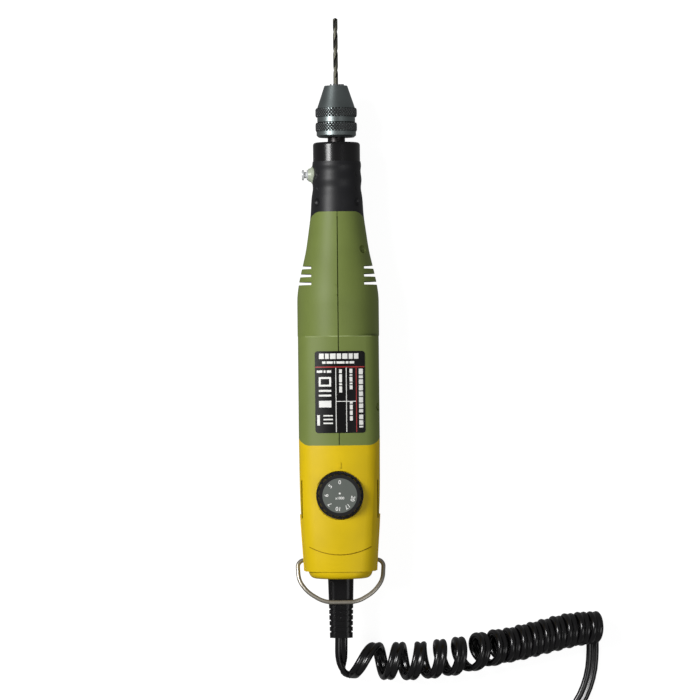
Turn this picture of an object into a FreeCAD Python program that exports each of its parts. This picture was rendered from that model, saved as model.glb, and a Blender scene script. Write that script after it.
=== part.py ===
import FreeCAD, Part
import math
import os

V = FreeCAD.Vector
os.makedirs("parts", exist_ok=True)

# Rotary hobby tool with keyless chuck, speed dial and curly flex. Millimetres.
# Shapes are made in the tool frame: +Y runs forwards along the tool axis, t is the distance
# forwards from the rear face, +Z points out of the front, where the dial is.
# export() moves them into the part frame: flat back on z = 0, box centred on x = 0 and y = 0.

# Lengths along the tool axis
CAP_LENGTH = 56.6
HOUSING_LENGTH = 98.9
GRIP_LENGTH = 21.5
COLLAR_LENGTH = 8.1
SIDE_EDGE_BACK = 6.5          # the grip reaches this much further back at the sides
EDGE_FLARE = 0.163            # share of the taper's widening that is left there
PANEL_LENGTH = 46.2           # square part of the housing, ahead of the cap
TAPER_LENGTH = 38.5

# Body section
BODY_HALF_WIDTH = 17.15
FRONT_HEIGHT = BODY_HALF_WIDTH + 0.15
BACK_DEPTH = 16.0
CROWN_RADIUS = 30.0
FRONT_CORNER = 9.0
BACK_CORNER = 8.0
ROUND_RADIUS = BODY_HALF_WIDTH + 0.2
NOSE_RADIUS = 11.2
WALL = 2.0
REAR_WALL = 4.0
GROOVE_WIDTH = 0.4
GROOVE_DEPTH = 0.4
SPIGOT_LENGTH = 5.0
SPIGOT_WALL = 1.4
SEAM_CORNER = 5.2             # rounded rear corner of the housing, seen from the front
RIB_WIDTH = 2.0
NOSE_TUBE_RADIUS = 9.0
# share of the taper's length, share of the radius still to lose
TAPER_SHAPE = ((0.0, 1.0), (0.18, 0.9), (0.36, 0.667), (0.58, 0.358), (0.78, 0.171), (1.0, 0.0))
# share of the grip's length, waist below the nose radius
GRIP_SHAPE = ((0.337, 0.55), (0.488, 0.95), (0.633, 0.65), (0.833, 1.0), (0.92, 0.8), (1.0, 1.0))
# share of the cap's length, narrower than the housing by, lower than the housing by
CAP_SHAPE = ((0.0565, 2.05, 1.7), (0.21, 1.55, 0.7), (0.44, 0.7, 0.3), (0.725, 0.15, 0.1), (1.0, 0.0, 0.0))
# distance from the rear face, narrower, lower, back raised
REAR_SHAPE = ((0.0, 6.6, 5.0, 3.2), (1.0, 4.5, 3.2, 1.2), (3.6, 3.5, 2.4, 0.1))

# Dimples of the grip, three in each of four rows
DIMPLE_RADIUS = 2.2
DIMPLE_DEPTH = 1.2            # below the widest part of the grip
DIMPLE_PITCH = 5.9
DIMPLE_ANGLE = 39             # degrees above and below the sides

# Air slots, three on each side
SLOT_PITCH = 3.4
SLOT_WIDTH = 1.3
SLOT_INNER = 11.2
SLOT_BACK = 27.0              # middle slot behind the front edge of the housing

# Housing screws
SCREW_RADIUS = 0.9
SCREW_HEAD_RADIUS = 1.6
SCREW_HEAD = 1.6
SCREW_SEAT = 4.4
SCREW_DEPTH = 8.0
SCREW_SLOT = 0.9              # bottom of the cross slot, above the seat
SCREW_SLOT_HALF_LENGTH = 1.2
SCREW_SLOT_HALF_WIDTH = 0.2
BOSS_RADIUS = 2.75
FRONT_SCREW_BACK = 16.1       # behind the front edge of the housing
FRONT_SCREW_HEIGHT = 7.9
REAR_SCREW_AHEAD = 16.1       # ahead of the cap
REAR_SCREW_HEIGHT = 10.0

# Fits
RUNNING = 0.05                # radial clearance of a running fit
CLEAR = 0.3                   # gap beside a part that moves

# Spindle and its two ball bearings (8 x 16 x 5)
SPINDLE_RADIUS = 4.0
SPINDLE_NECK_RADIUS = SPINDLE_RADIUS - 0.3
BEARING_RADIUS = 8.0
BEARING_WIDTH = 5.0
BALL_RADIUS = 1.0
BALL_CLEARANCE = 0.03
BALLS = 8
RACE = 1.3
COLLAR_RADIUS = 10.0
COLLAR_FLOOR = 1.2
SPIGOT_RADIUS = 7.0
FLANGE_WIDTH = 1.4
SHOULDER_RADIUS = SPINDLE_RADIUS + 1.0
TUNNEL_RADIUS = SPINDLE_RADIUS + 0.6
RELIEF_RADIUS = 6.4
REAR_BEARING_BACK = 11.0      # behind the front edge of the housing
CLIP_WIDTH = 0.7
SEAL_WIDTH = 1.4

# Spindle lock
LOCK_BACK = 5.6               # behind the collar
LOCK_HEAD_RADIUS = 2.2
LOCK_FLANGE_RADIUS = 2.6
LOCK_REST = 0.35              # gap between the pin and the spindle, button out
LOCK_PIN_RADIUS = 1.2
LOCK_BUSH_RADIUS = 3.75
LOCK_TOP = 14.85
LOCK_FLANGE = 0.8
LOCK_DISC_HEIGHT = 2.2
LOCK_CONE_HEIGHT = 1.25
LOCK_CONE_RADIUS = 3.1
LOCK_LIP = 0.4                # of the cone round the button's head
LOCK_WAIST_RADIUS = 1.35
LOCK_WAIST = (13.95, 12.75)   # from and to, out from the tool axis
LOCK_SPRING_RADIUS = 1.7
LOCK_SPRING_WIRE = 0.22
LOCK_SPRING_TURNS = 3
SPRING_STEPS = 10             # straight runs in a turn of a spring

# Keyless chuck
CHUCK_GAP = 2.2
CHUCK_RADIUS = 8.5
RIM_LENGTH = 2.5
BAND_LENGTH = 3.7
NECK_LENGTH = 2.15
NECK_RADIUS = 8.05
CONE_LENGTH = 9.6
CONE_FRONT_RADIUS = 4.9
THREAD_LENGTH = 6.5
CORE_RADIUS = 5.1
CORE_FRONT_RADIUS = 4.2
JAW_RADIUS = 1.5
JAW_SLANT = 12.0
JAW_LENGTH = 12.6
JAW_PROUD = 0.7
JAW_CENTRE = 1.9
JAW_TRAVEL = 2.886

# Drill bit
BIT_RADIUS = 1.0
BIT_LENGTH = 49.0
BIT_REACH = 28.3              # ahead of the jaws
POINT_HALF_ANGLE = 59
FLUTE_LENGTH = 25.5
FLUTE_PITCH = 16.3
FLUTE_RADIUS = 0.72
FLUTE_CENTRE = 1.06           # out from the tool axis
FLUTE_NARROW = 6.0            # first place behind the tip where the flutes lie at the sides
FLUTE_STEP = 30               # degrees between the sections of the fluted part
GRIP_CLEARANCE = 0.03

# Motor
MOTOR_RADIUS = 13.85
MOTOR_AHEAD = 19.4            # rear end of the motor ahead of the cap
END_CAP_LENGTH = 8.5
CAN_LENGTH = 31.5
CAN_WALL = 1.0
CAN_FRONT_WALL = 1.4
END_CAP_WALL = 1.5
END_CAP_HUB_RADIUS = 4.5
BRUSH_OUT = MOTOR_RADIUS - 5.35
BRUSH_HALF = (1.75, 1.5)      # along the shaft, across it
BRUSH_HOLDER_HALF = 2.5
BRUSH_SPRING_RADIUS = 1.1
BRUSH_SPRING_WIRE = 0.2
BRUSH_SPRING_TURNS = 4
TERMINAL_LENGTH = 5.0
TERMINAL_OUT = MOTOR_RADIUS - 4.85
MAGNET_ARC = 130              # degrees
BOSS_LENGTH = 2.0
BUSH_RADIUS = 3.0
BUSH_LENGTH = 3.0
SHAFT_RADIUS = 1.5
MAGNET_INNER = MOTOR_RADIUS - 3.75
CORE_STACK_RADIUS = MAGNET_INNER - 0.5
CORE_STACK_LENGTH = 18.0
WINDING_LENGTHS = (2.5, 3.0)  # behind and ahead of the core
SLOTS = 5
SLOT_RADIUS = 2.0
SLOT_CENTRE = CORE_STACK_RADIUS - 3.0
SLOT_MOUTH_HALF = 0.6
COMMUTATOR_RADIUS = 4.0
COMMUTATOR_LENGTH = 4.5
FAN_RADIUS = 10.5
FAN_LENGTH = 5.5
FAN_HUB_RADIUS = 3.5
FAN_DISC = 1.0
BLADES = 9
COUPLING_RADIUS = 6.0
COUPLING_HUB = 4.0
COUPLING_DOG = 2.0
DOG = 40                      # degrees
DOG_INNER = 2.6

# Speed dial and circuit board
KNOB_BACK = 21.0              # knob centre behind the front edge of the cap
KNOB_RADIUS = 10.0
KNOB_HEIGHT = 4.0
KNOB_SEAT = FRONT_HEIGHT - 1.4
KNOB_LOBES = 20
KNOB_FLANGE = 1.2
KNOB_STEP = 0.6               # the crown is smaller than the flange by this
LOBE_CENTRE_IN = 0.35
LOBE_RADIUS = 0.95
DIAL_SEAT = 0.7               # plastic under the dial plate
DIAL_RADIUS = 7.3
DIAL_THICKNESS = 0.5
POT_SIDE = 16.0
POT_HEIGHT = 7.0
POT_SHAFT_RADIUS = 3.0
BOARD_HALF_WIDTH = BODY_HALF_WIDTH - 3.75
BOARD_THICKNESS = 1.6
BOARD_START = 12.0

# Label
LABEL_WIDTH = 21.1
LABEL_LENGTH = 34.5
LABEL_AHEAD = 5.3
LABEL_OFFSET = 0.55
LABEL_THICKNESS = 0.2

# Bail and strain relief
BAIL_WIRE_RADIUS = 0.9
BAIL_PIVOT = 7.5
BAIL_HALF_WIDTH = BODY_HALF_WIDTH + 1.1
BAIL_REACH = 18.4
RELIEF_LENGTH = 25.5
RELIEF_WIDTH = 10.9
RELIEF_END_WIDTH = 9.7
RELIEF_HEIGHT = 8.4
RELIEF_END_HEIGHT = 7.2
RELIEF_NECK = 4.0
RELIEF_FLANGE = 1.5           # wider than the neck by
RELIEF_FLANGE_THICKNESS = 1.8
RELIEF_GROOVES = ((13.4, 0.8), (15.7, 0.8), (18.2, 0.8), (20.6, 0.9), (23.0, 0.8))  # place, width
RELIEF_GROOVE_DEPTH = 0.5
WIRE_RADIUS = 0.7

# Front panel of the cap, its side grooves and the rails that carry the bail
PANEL_PROUD = 0.35
PANEL_HALF_WIDTH = BODY_HALF_WIDTH - 1.85
PANEL_END_HALF_WIDTH = BODY_HALF_WIDTH - 4.05
PANEL_END = 14.0
PANEL_BOW = 3.3
MARK_HALF_WIDTH = 0.55
MARK_AHEAD = (1.2, 3.9)       # from and to, ahead of the dial
RAIL_PROUD = 0.5
RAIL_END = 27.0
RAIL_HALF_HEIGHT = 3.5
SIDE_GROOVE_OUT = BODY_HALF_WIDTH - 1.1   # middle of the groove, out from the tool axis
SIDE_GROOVE_HALF_WIDTH = 0.2
SIDE_GROOVE = (25.7, 41.9)    # from and to, ahead of the rear face
SIDE_GROOVE_DEPTH = 0.6

# Flex: a twin flex, taken as a round one of the same section, wound to a curly coil
CORD_RADIUS = 1.8
COIL_RADIUS = 7.5
COIL_HEIGHT = COIL_RADIUS - BACK_DEPTH
FLOOR = 0.05 + CORD_RADIUS - BACK_DEPTH
LEAD_ROUTE = ((0, -25.5, 0), (0.3, -34.6, -2.0), (6.6, -41.9, -7.0), (17, -40.3, -9.8))
COIL_ROUTE = ((17, -35.3, COIL_HEIGHT), (37, -34.8, COIL_HEIGHT), (57, -32.4, COIL_HEIGHT),
              (79, -28.6, COIL_HEIGHT), (105, -22.6, COIL_HEIGHT))
TAIL_ROUTE = ((107.8, -19.5, FLOOR), (109.0, -32.0, FLOOR), (107.5, -44.5, FLOOR), (102.0, -56.5, FLOOR),
              (93.5, -65.5, FLOOR), (84, -70.0, -13.6))
HANK_LENGTH = 84.0
HANK_WIDTH = 27.0
HANK_HEIGHT = 9.6
HANK_MIDDLE = -80.0
TIE_WIDTH = 7.0
TIE_THICKNESS = 0.8
PLUG_LENGTH = 26.0
PLUG_WIDTH = 20.0
PLUG_HEIGHT = 12.0
PIN_SPACING = 11.0
PIN_LENGTH = 15.0
PIN_RADIUS = 1.6

# Places that follow from the lengths
T_CAP = CAP_LENGTH
T_PANEL = T_CAP + PANEL_LENGTH
T_EDGE = T_CAP + HOUSING_LENGTH
T_SHOULDER = T_EDGE - TAPER_LENGTH
T_COLLAR = T_EDGE + GRIP_LENGTH
T_FRONT = T_COLLAR + COLLAR_LENGTH
T_LOCK = T_COLLAR - LOCK_BACK
T_HUB = T_FRONT + CHUCK_GAP
T_SLEEVE = T_HUB + RIM_LENGTH + BAND_LENGTH + CLEAR
T_NUT = T_SLEEVE + NECK_LENGTH
T_CONE = T_NUT + BAND_LENGTH
T_NOSE = T_CONE + CONE_LENGTH
T_JAWS = T_NOSE + JAW_PROUD
T_TIP = T_JAWS + BIT_REACH
T_KNOB = T_CAP - KNOB_BACK
T_MOTOR = T_CAP + MOTOR_AHEAD
T_CAN = T_MOTOR + END_CAP_LENGTH
T_CAN_FRONT = T_CAN + CAN_LENGTH
T_REAR_BEARING = T_EDGE - REAR_BEARING_BACK
T_FRONT_BEARING = T_COLLAR + COLLAR_FLOOR
T_SOLID = T_REAR_BEARING - 1.5
T_BOARD_END = T_CAP - 0.6
BOARD_TOP = KNOB_SEAT - WALL - 0.3 - POT_HEIGHT
BOARD_FOOT = BOARD_TOP - BOARD_THICKNESS
KNOB_FOOT = KNOB_SEAT + CLEAR
KNOB_TOP = KNOB_FOOT + KNOB_HEIGHT
SHAFT_TOP = KNOB_TOP - DIAL_THICKNESS - DIAL_SEAT
T_BRUSH = T_MOTOR + 6.0
T_STACK = T_CAN + 3.5
T_COUPLING = T_CAN_FRONT + BOSS_LENGTH + FAN_LENGTH + 2.5
T_DOGS = T_COUPLING + COUPLING_HUB
T_SPINDLE = T_DOGS + COUPLING_DOG + 0.5
T_SPINDLE_END = T_HUB + THREAD_LENGTH
T_SEAL = T_FRONT_BEARING + BEARING_WIDTH
T_CORE_CONE = T_CONE + 1.5
T_CORE_FRONT = T_NOSE - 1.8
CENTRE = (T_TIP - RELIEF_LENGTH) / 2

# Heights of the lock's pieces out from the tool axis
LOCK_FLOOR = TUNNEL_RADIUS + 0.8
LOCK_SEAT = NOSE_TUBE_RADIUS - 0.3
LOCK_DISC = LOCK_SEAT + LOCK_DISC_HEIGHT
LOCK_CONE = LOCK_DISC + LOCK_CONE_HEIGHT

SLANT = math.radians(JAW_SLANT)


def export(name, shape):
    placed = shape.copy()
    placed.translate(V(0, -CENTRE, BACK_DEPTH))
    placed.exportStep(f"parts/{name}.step")


def closed_face(edges):
    return Part.Face(Part.Wire(Part.__sortEdges__(edges)))


def turned(profile):
    """Solid of revolution about the tool axis from (t, radius) corners."""
    corners = [V(radius, t, 0) for t, radius in profile]
    face = Part.Face(Part.makePolygon(corners + corners[:1]))
    return face.revolve(V(0, 0, 0), V(0, 1, 0), 360)


def rod(radius, start, end, x=0.0, z=0.0):
    return Part.makeCylinder(radius, end - start, V(x, start, z), V(0, 1, 0))


def ring(outer, inner, start, end):
    return rod(outer, start, end).cut(rod(inner, start - 1, end + 1))


def pin(radius, x0, x1, t, z=0.0):
    """Cylinder along X from x0 to x1."""
    direction = V(math.copysign(1, x1 - x0), 0, 0)
    return Part.makeCylinder(radius, abs(x1 - x0), V(x0, t, z), direction)


def post(radius, z0, z1, x, t):
    return Part.makeCylinder(radius, z1 - z0, V(x, t, z0))


def block(x0, x1, t0, t1, z0, z1):
    return Part.makeBox(x1 - x0, t1 - t0, z1 - z0, V(x0, t0, z0))


def slab(t0, t1):
    return block(-60, 60, t0, t1, -60, 60)


def sector(inner, outer, t0, t1, start, end):
    """Part of a ring between two angles, in degrees from +X towards -Z."""
    corners = [V(inner, t0, 0), V(outer, t0, 0), V(outer, t1, 0), V(inner, t1, 0)]
    piece = Part.Face(Part.makePolygon(corners + corners[:1])).revolve(V(), V(0, 1, 0), end - start)
    piece.rotate(V(), V(0, 1, 0), start)
    return piece


def spun(shape, angle):
    copy = shape.copy()
    copy.rotate(V(), V(0, 1, 0), angle)
    return copy


def section(t, narrower=0.0, lower=0.0, raised=0.0, inset=0.0):
    """Outline across the body: crowned front, upright sides and a flat back."""
    half = BODY_HALF_WIDTH - narrower - inset
    top = FRONT_HEIGHT - lower - inset
    back = raised + inset - BACK_DEPTH
    crown = CROWN_RADIUS - inset
    front_r = FRONT_CORNER - inset
    back_r = BACK_CORNER - inset
    corner_x = half - front_r
    corner_z = top - crown + math.sqrt((crown - front_r) ** 2 - corner_x ** 2)
    lean = math.atan2(corner_x, corner_z - top + crown)
    crown_end = V(crown * math.sin(lean), t, top - crown + crown * math.cos(lean))
    middle = (lean + math.pi / 2) / 2
    corner_mid = V(corner_x + front_r * math.sin(middle), t, corner_z + front_r * math.cos(middle))
    side_top = V(half, t, corner_z)
    side_foot = V(half, t, back + back_r)
    slant = back_r * math.sqrt(0.5)
    foot_mid = V(half - back_r + slant, t, back + back_r - slant)
    foot = V(half - back_r, t, back)

    def other(point):
        return V(-point.x, point.y, point.z)

    edges = [
        Part.Arc(other(crown_end), V(0, t, top), crown_end).toShape(),
        Part.Arc(crown_end, corner_mid, side_top).toShape(),
        Part.LineSegment(side_top, side_foot).toShape(),
        Part.Arc(side_foot, foot_mid, foot).toShape(),
        Part.LineSegment(foot, other(foot)).toShape(),
        Part.Arc(other(foot), other(foot_mid), other(side_foot)).toShape(),
        Part.LineSegment(other(side_foot), other(side_top)).toShape(),
        Part.Arc(other(side_top), other(corner_mid), other(crown_end)).toShape(),
    ]
    return Part.Wire(edges)


def square_body(inset, end):
    """The cap's flaring part and the square part of the housing, up to end."""
    wires = [section(share * CAP_LENGTH, narrower, lower, 0, inset) for share, narrower, lower in CAP_SHAPE]
    flare = Part.makeLoft(wires, True, False)
    straight = Part.Face(section(T_CAP, inset=inset)).extrude(V(0, end - T_CAP, 0))
    return flare.fuse(straight)


def round_body(inset, start=T_PANEL):
    """The turned part of the body, from start to the collar, with the back cut flat."""
    waist = NOSE_RADIUS - inset
    drop = ROUND_RADIUS - NOSE_RADIUS
    points = [V(waist + drop * left, T_SHOULDER + share * TAPER_LENGTH, 0) for share, left in TAPER_SHAPE]
    points += [V(waist - dip, T_EDGE + share * GRIP_LENGTH, 0) for share, dip in GRIP_SHAPE]
    curve = Part.BSplineCurve()
    curve.interpolate(Points=points, InitialTangent=V(0, 1, 0), FinalTangent=V(-0.1, 1, 0))
    radius = ROUND_RADIUS - inset
    edges = [
        curve.toShape(),
        Part.LineSegment(points[-1], V(0, T_COLLAR, 0)).toShape(),
        Part.LineSegment(V(0, T_COLLAR, 0), V(0, start, 0)).toShape(),
        Part.LineSegment(V(0, start, 0), V(radius, start, 0)).toShape(),
        Part.LineSegment(V(radius, start, 0), V(radius, T_SHOULDER, 0)).toShape(),
    ]
    solid = closed_face(edges).revolve(V(), V(0, 1, 0), 360)
    return solid.common(block(-60, 60, start - 1, T_COLLAR + 1, inset - BACK_DEPTH, 60))


def housing_prism():
    """Everything that is housing, seen from the front: rounded rear corners, drawn-in front ones."""
    side = ROUND_RADIUS + 0.25
    inner = side - SEAM_CORNER
    t_back = T_EDGE - SIDE_EDGE_BACK
    slant = SEAM_CORNER * math.sqrt(0.5)
    front_x = NOSE_RADIUS - 3.2
    side_x = NOSE_RADIUS + EDGE_FLARE * (ROUND_RADIUS - NOSE_RADIUS)

    def outline(sign):
        rear_arc = Part.Arc(V(sign * inner, T_CAP, 0),
                            V(sign * (inner + slant), T_CAP + SEAM_CORNER - slant, 0),
                            V(sign * side, T_CAP + SEAM_CORNER, 0))
        front_arc = Part.Arc(V(sign * side_x, t_back, 0),
                             V(sign * (side_x - 1.2), T_EDGE - 2.1, 0),
                             V(sign * front_x, T_EDGE, 0))
        rear = V(sign * side, T_CAP + SEAM_CORNER, 0)
        front = V(sign * side, t_back, 0)
        return [
            rear_arc.toShape(),
            Part.LineSegment(rear, front).toShape(),
            Part.LineSegment(front, V(sign * side_x, t_back, 0)).toShape(),
            front_arc.toShape(),
        ]

    edges = outline(1) + outline(-1)
    edges.append(Part.LineSegment(V(-inner, T_CAP, 0), V(inner, T_CAP, 0)).toShape())
    edges.append(Part.LineSegment(V(-front_x, T_EDGE, 0), V(front_x, T_EDGE, 0)).toShape())
    face = closed_face(edges)
    face.translate(V(0, 0, -60))
    return face.extrude(V(0, 0, 120))


def screw_places():
    front = (T_EDGE - FRONT_SCREW_BACK, FRONT_SCREW_HEIGHT)
    rear = (T_CAP + REAR_SCREW_AHEAD, REAR_SCREW_HEIGHT)
    for t, height in (front, rear):
        yield t, height
        yield t, -height


def housing_cavity():
    """Room inside the housing, less its ribs and screw bosses."""
    square_end = T_PANEL - WALL + 0.2
    cavity = square_body(WALL, square_end).common(slab(T_CAP - 1, square_end))
    cavity = cavity.fuse(round_body(WALL, square_end - 1).common(slab(square_end - 1, T_SOLID)))
    for start in (T_CAN + RIB_WIDTH, T_CAN_FRONT - 3 * RIB_WIDTH):
        cavity = cavity.cut(ring(60, MOTOR_RADIUS, start, start + RIB_WIDTH))
    for t, height in screw_places():
        cavity = cavity.cut(pin(BOSS_RADIUS, -60, 60, t, height))
    return cavity


def nose_bores():
    """Bores of the nose: rear bearing seat, tunnel for the spindle, seat of the collar's spigot."""
    flange = T_COLLAR - 2 * FLANGE_WIDTH
    seat_end = T_REAR_BEARING + BEARING_WIDTH
    relief_end = seat_end + 0.8
    return turned([
        (T_SOLID - 1, 0), (T_SOLID - 1, RELIEF_RADIUS), (T_REAR_BEARING, RELIEF_RADIUS),
        (T_REAR_BEARING, BEARING_RADIUS), (seat_end, BEARING_RADIUS), (seat_end, RELIEF_RADIUS),
        (relief_end, RELIEF_RADIUS), (relief_end, TUNNEL_RADIUS), (flange, TUNNEL_RADIUS),
        (flange, BEARING_RADIUS), (flange + FLANGE_WIDTH, BEARING_RADIUS),
        (flange + FLANGE_WIDTH, SPIGOT_RADIUS), (T_COLLAR + 1, SPIGOT_RADIUS), (T_COLLAR + 1, 0),
    ])


def lock_holes():
    holes = pin(LOCK_PIN_RADIUS + RUNNING, 0, -LOCK_SEAT, T_LOCK)
    holes = holes.fuse(pin(LOCK_FLANGE_RADIUS + 2 * RUNNING, -LOCK_FLOOR, -LOCK_SEAT - 1, T_LOCK))
    return holes.fuse(pin(LOCK_BUSH_RADIUS, -LOCK_SEAT, -60, T_LOCK))


def housing_halves():
    outer = square_body(0, T_PANEL).fuse(round_body(0))
    shell = outer.common(housing_prism())
    groove = block(-GROOVE_WIDTH / 2, GROOVE_WIDTH / 2, 0, T_COLLAR, -60, 60)
    inner = square_body(GROOVE_DEPTH, T_PANEL - GROOVE_DEPTH).fuse(round_body(GROOVE_DEPTH, T_PANEL - 5))
    shell = shell.cut(groove.cut(inner))
    tube = rod(NOSE_TUBE_RADIUS, T_EDGE - SIDE_EDGE_BACK - 1, T_COLLAR)
    shell = shell.fuse(tube).cut(housing_cavity())
    spigot = square_body(WALL, T_PANEL).cut(square_body(WALL + SPIGOT_WALL, T_PANEL))
    spigot = spigot.common(slab(T_CAP - SPIGOT_LENGTH, T_CAP + SEAM_CORNER + 1))
    shell = shell.fuse(spigot).cut(nose_bores())
    for side in (-1, 1):
        for step in (-1, 0, 1):
            middle = T_EDGE - SLOT_BACK + step * SLOT_PITCH
            x0, x1 = sorted((side * SLOT_INNER, side * 40))
            shell = shell.cut(block(x0, x1, middle - SLOT_WIDTH / 2, middle + SLOT_WIDTH / 2, -60, 60))
    for t, height in screw_places():
        shell = shell.cut(pin(SCREW_RADIUS, -SCREW_DEPTH - 0.2, SCREW_SEAT, t, height))
        shell = shell.cut(pin(SCREW_HEAD_RADIUS + 0.1, SCREW_SEAT, 60, t, height))
    left = shell.common(block(-60, 0, 0, 300, -60, 60)).cut(lock_holes())
    right = shell.common(block(0, 60, 0, 300, -60, 60))
    return left.removeSplitter(), right.removeSplitter()


def housing_screws():
    screws = []
    for t, height in screw_places():
        shank = pin(SCREW_RADIUS, -SCREW_DEPTH, SCREW_SEAT, t, height)
        head = pin(SCREW_HEAD_RADIUS, SCREW_SEAT, SCREW_SEAT + SCREW_HEAD, t, height)
        screw = shank.fuse(head)
        long, short = SCREW_SLOT_HALF_LENGTH, SCREW_SLOT_HALF_WIDTH
        for half_t, half_z in ((long, short), (short, long)):
            screw = screw.cut(block(SCREW_SEAT + SCREW_SLOT, SCREW_SEAT + SCREW_HEAD + 1, t - half_t, t + half_t,
                                    height - half_z, height + half_z))
        screws.append(screw)
    return Part.makeCompound(screws)


def nose_grip():
    grip = round_body(0).common(slab(T_EDGE - SIDE_EDGE_BACK, T_COLLAR)).cut(housing_prism())
    grip = grip.cut(rod(NOSE_TUBE_RADIUS, T_EDGE - 20, T_COLLAR + 1))
    for angle in (-DIMPLE_ANGLE, DIMPLE_ANGLE):
        for step in range(3):
            out = NOSE_RADIUS + DIMPLE_RADIUS - DIMPLE_DEPTH
            x = out * math.cos(math.radians(angle))
            z = out * math.sin(math.radians(angle))
            dimple = Part.makeSphere(DIMPLE_RADIUS, V(x, T_LOCK - step * DIMPLE_PITCH, z))
            grip = grip.cut(dimple).cut(dimple.mirror(V(), V(1, 0, 0)))
    return grip.cut(lock_holes()).removeSplitter()


def nose_collar():
    flange = T_COLLAR - 2 * FLANGE_WIDTH
    body = turned([
        (flange, TUNNEL_RADIUS), (flange, BEARING_RADIUS), (flange + FLANGE_WIDTH, BEARING_RADIUS),
        (flange + FLANGE_WIDTH, SPIGOT_RADIUS), (T_COLLAR, SPIGOT_RADIUS), (T_COLLAR, COLLAR_RADIUS),
        (T_FRONT, COLLAR_RADIUS), (T_FRONT, BEARING_RADIUS), (T_FRONT_BEARING, BEARING_RADIUS),
        (T_FRONT_BEARING, RELIEF_RADIUS), (T_COLLAR - 0.2, RELIEF_RADIUS), (T_COLLAR - 0.2, TUNNEL_RADIUS),
    ])
    rims = [edge for edge in body.Edges
            if abs(edge.BoundBox.YMin - T_FRONT) < 0.01 and edge.BoundBox.XMax > COLLAR_RADIUS - 0.01]
    return body.makeFillet(1.2, rims)


def ball_bearing(start):
    """Outer race, inner race and balls of a bearing whose rear face is at start."""
    middle = start + BEARING_WIDTH / 2
    pitch = (SPINDLE_RADIUS + BEARING_RADIUS) / 2
    groove = Part.makeTorus(pitch, BALL_RADIUS + BALL_CLEARANCE, V(0, middle, 0), V(0, 1, 0))
    outer = ring(BEARING_RADIUS, BEARING_RADIUS - RACE, start, start + BEARING_WIDTH).cut(groove)
    inner = ring(SPINDLE_RADIUS + RACE, SPINDLE_RADIUS, start, start + BEARING_WIDTH).cut(groove)
    balls = [spun(Part.makeSphere(BALL_RADIUS, V(pitch, middle, 0)), n * 360 / BALLS) for n in range(BALLS)]
    return outer, inner, Part.makeCompound(balls)


def spindle():
    shoulder = T_FRONT_BEARING - 0.9
    body = turned([
        (T_SPINDLE, 0), (T_SPINDLE, SPINDLE_RADIUS), (shoulder, SPINDLE_RADIUS),
        (shoulder, SHOULDER_RADIUS), (T_FRONT_BEARING, SHOULDER_RADIUS), (T_FRONT_BEARING, SPINDLE_RADIUS),
        (T_SEAL + 1, SPINDLE_RADIUS), (T_SEAL + 1, SPINDLE_NECK_RADIUS), (T_HUB, SPINDLE_NECK_RADIUS),
        (T_HUB, SPINDLE_RADIUS), (T_SPINDLE_END, SPINDLE_RADIUS), (T_SPINDLE_END, 0),
    ])
    body = body.cut(rod(BIT_RADIUS + 0.7, T_TIP - BIT_LENGTH - 0.5, T_SPINDLE_END + 1))
    hole = LOCK_PIN_RADIUS + 2 * RUNNING
    for angle in (0, 90):
        body = body.cut(spun(pin(hole, -10, 10, T_LOCK), angle))
    return body


def lock_bush():
    stem = Part.makeCylinder(LOCK_BUSH_RADIUS, LOCK_DISC - LOCK_SEAT, V(-LOCK_SEAT, T_LOCK, 0), V(-1, 0, 0))
    rims = [edge for edge in stem.Edges if edge.BoundBox.XMax < -LOCK_DISC + 0.01]
    stem = stem.makeFillet(0.6, rims)
    cone = Part.makeCone(LOCK_CONE_RADIUS, LOCK_HEAD_RADIUS + LOCK_LIP, LOCK_CONE_HEIGHT,
                         V(-LOCK_DISC, T_LOCK, 0), V(-1, 0, 0))
    return stem.fuse(cone).cut(pin(LOCK_HEAD_RADIUS + RUNNING, 0, -LOCK_CONE - 1, T_LOCK))


def lock_button():
    head = pin(LOCK_HEAD_RADIUS, -LOCK_SEAT, -LOCK_TOP, T_LOCK)
    rims = [edge for edge in head.Edges if edge.BoundBox.XMax < -LOCK_TOP + 0.01]
    head = head.makeFillet(0.3, rims)
    waist_end, waist_start = LOCK_WAIST
    waist = pin(LOCK_HEAD_RADIUS + 1, -waist_start, -waist_end, T_LOCK)
    head = head.cut(waist.cut(pin(LOCK_WAIST_RADIUS, 0, -LOCK_TOP, T_LOCK)))
    flange = pin(LOCK_FLANGE_RADIUS, -LOCK_SEAT + LOCK_FLANGE, -LOCK_SEAT, T_LOCK)
    shank = pin(LOCK_PIN_RADIUS, -SPINDLE_RADIUS - LOCK_REST, -LOCK_SEAT, T_LOCK)
    return head.fuse(flange).fuse(shank).removeSplitter()


def coil_spring(mean_radius, wire_radius, length, turns):
    """Spring along +Z from z = 0 with its ends inside its length."""
    steps = turns * SPRING_STEPS
    points = []
    for n in range(steps + 1):
        angle = 2 * math.pi * n / SPRING_STEPS
        height = wire_radius + (length - 2 * wire_radius) * n / steps
        points.append((mean_radius * math.cos(angle), mean_radius * math.sin(angle), height))
    return tube_along(points, wire_radius)


def lock_spring():
    room = LOCK_SEAT - LOCK_FLANGE - LOCK_FLOOR
    spring = coil_spring(LOCK_SPRING_RADIUS, LOCK_SPRING_WIRE, room - 0.1, LOCK_SPRING_TURNS)
    spring.rotate(V(), V(0, 1, 0), -90)
    spring.translate(V(-LOCK_FLOOR - 0.05, T_LOCK, 0))
    return spring


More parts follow.
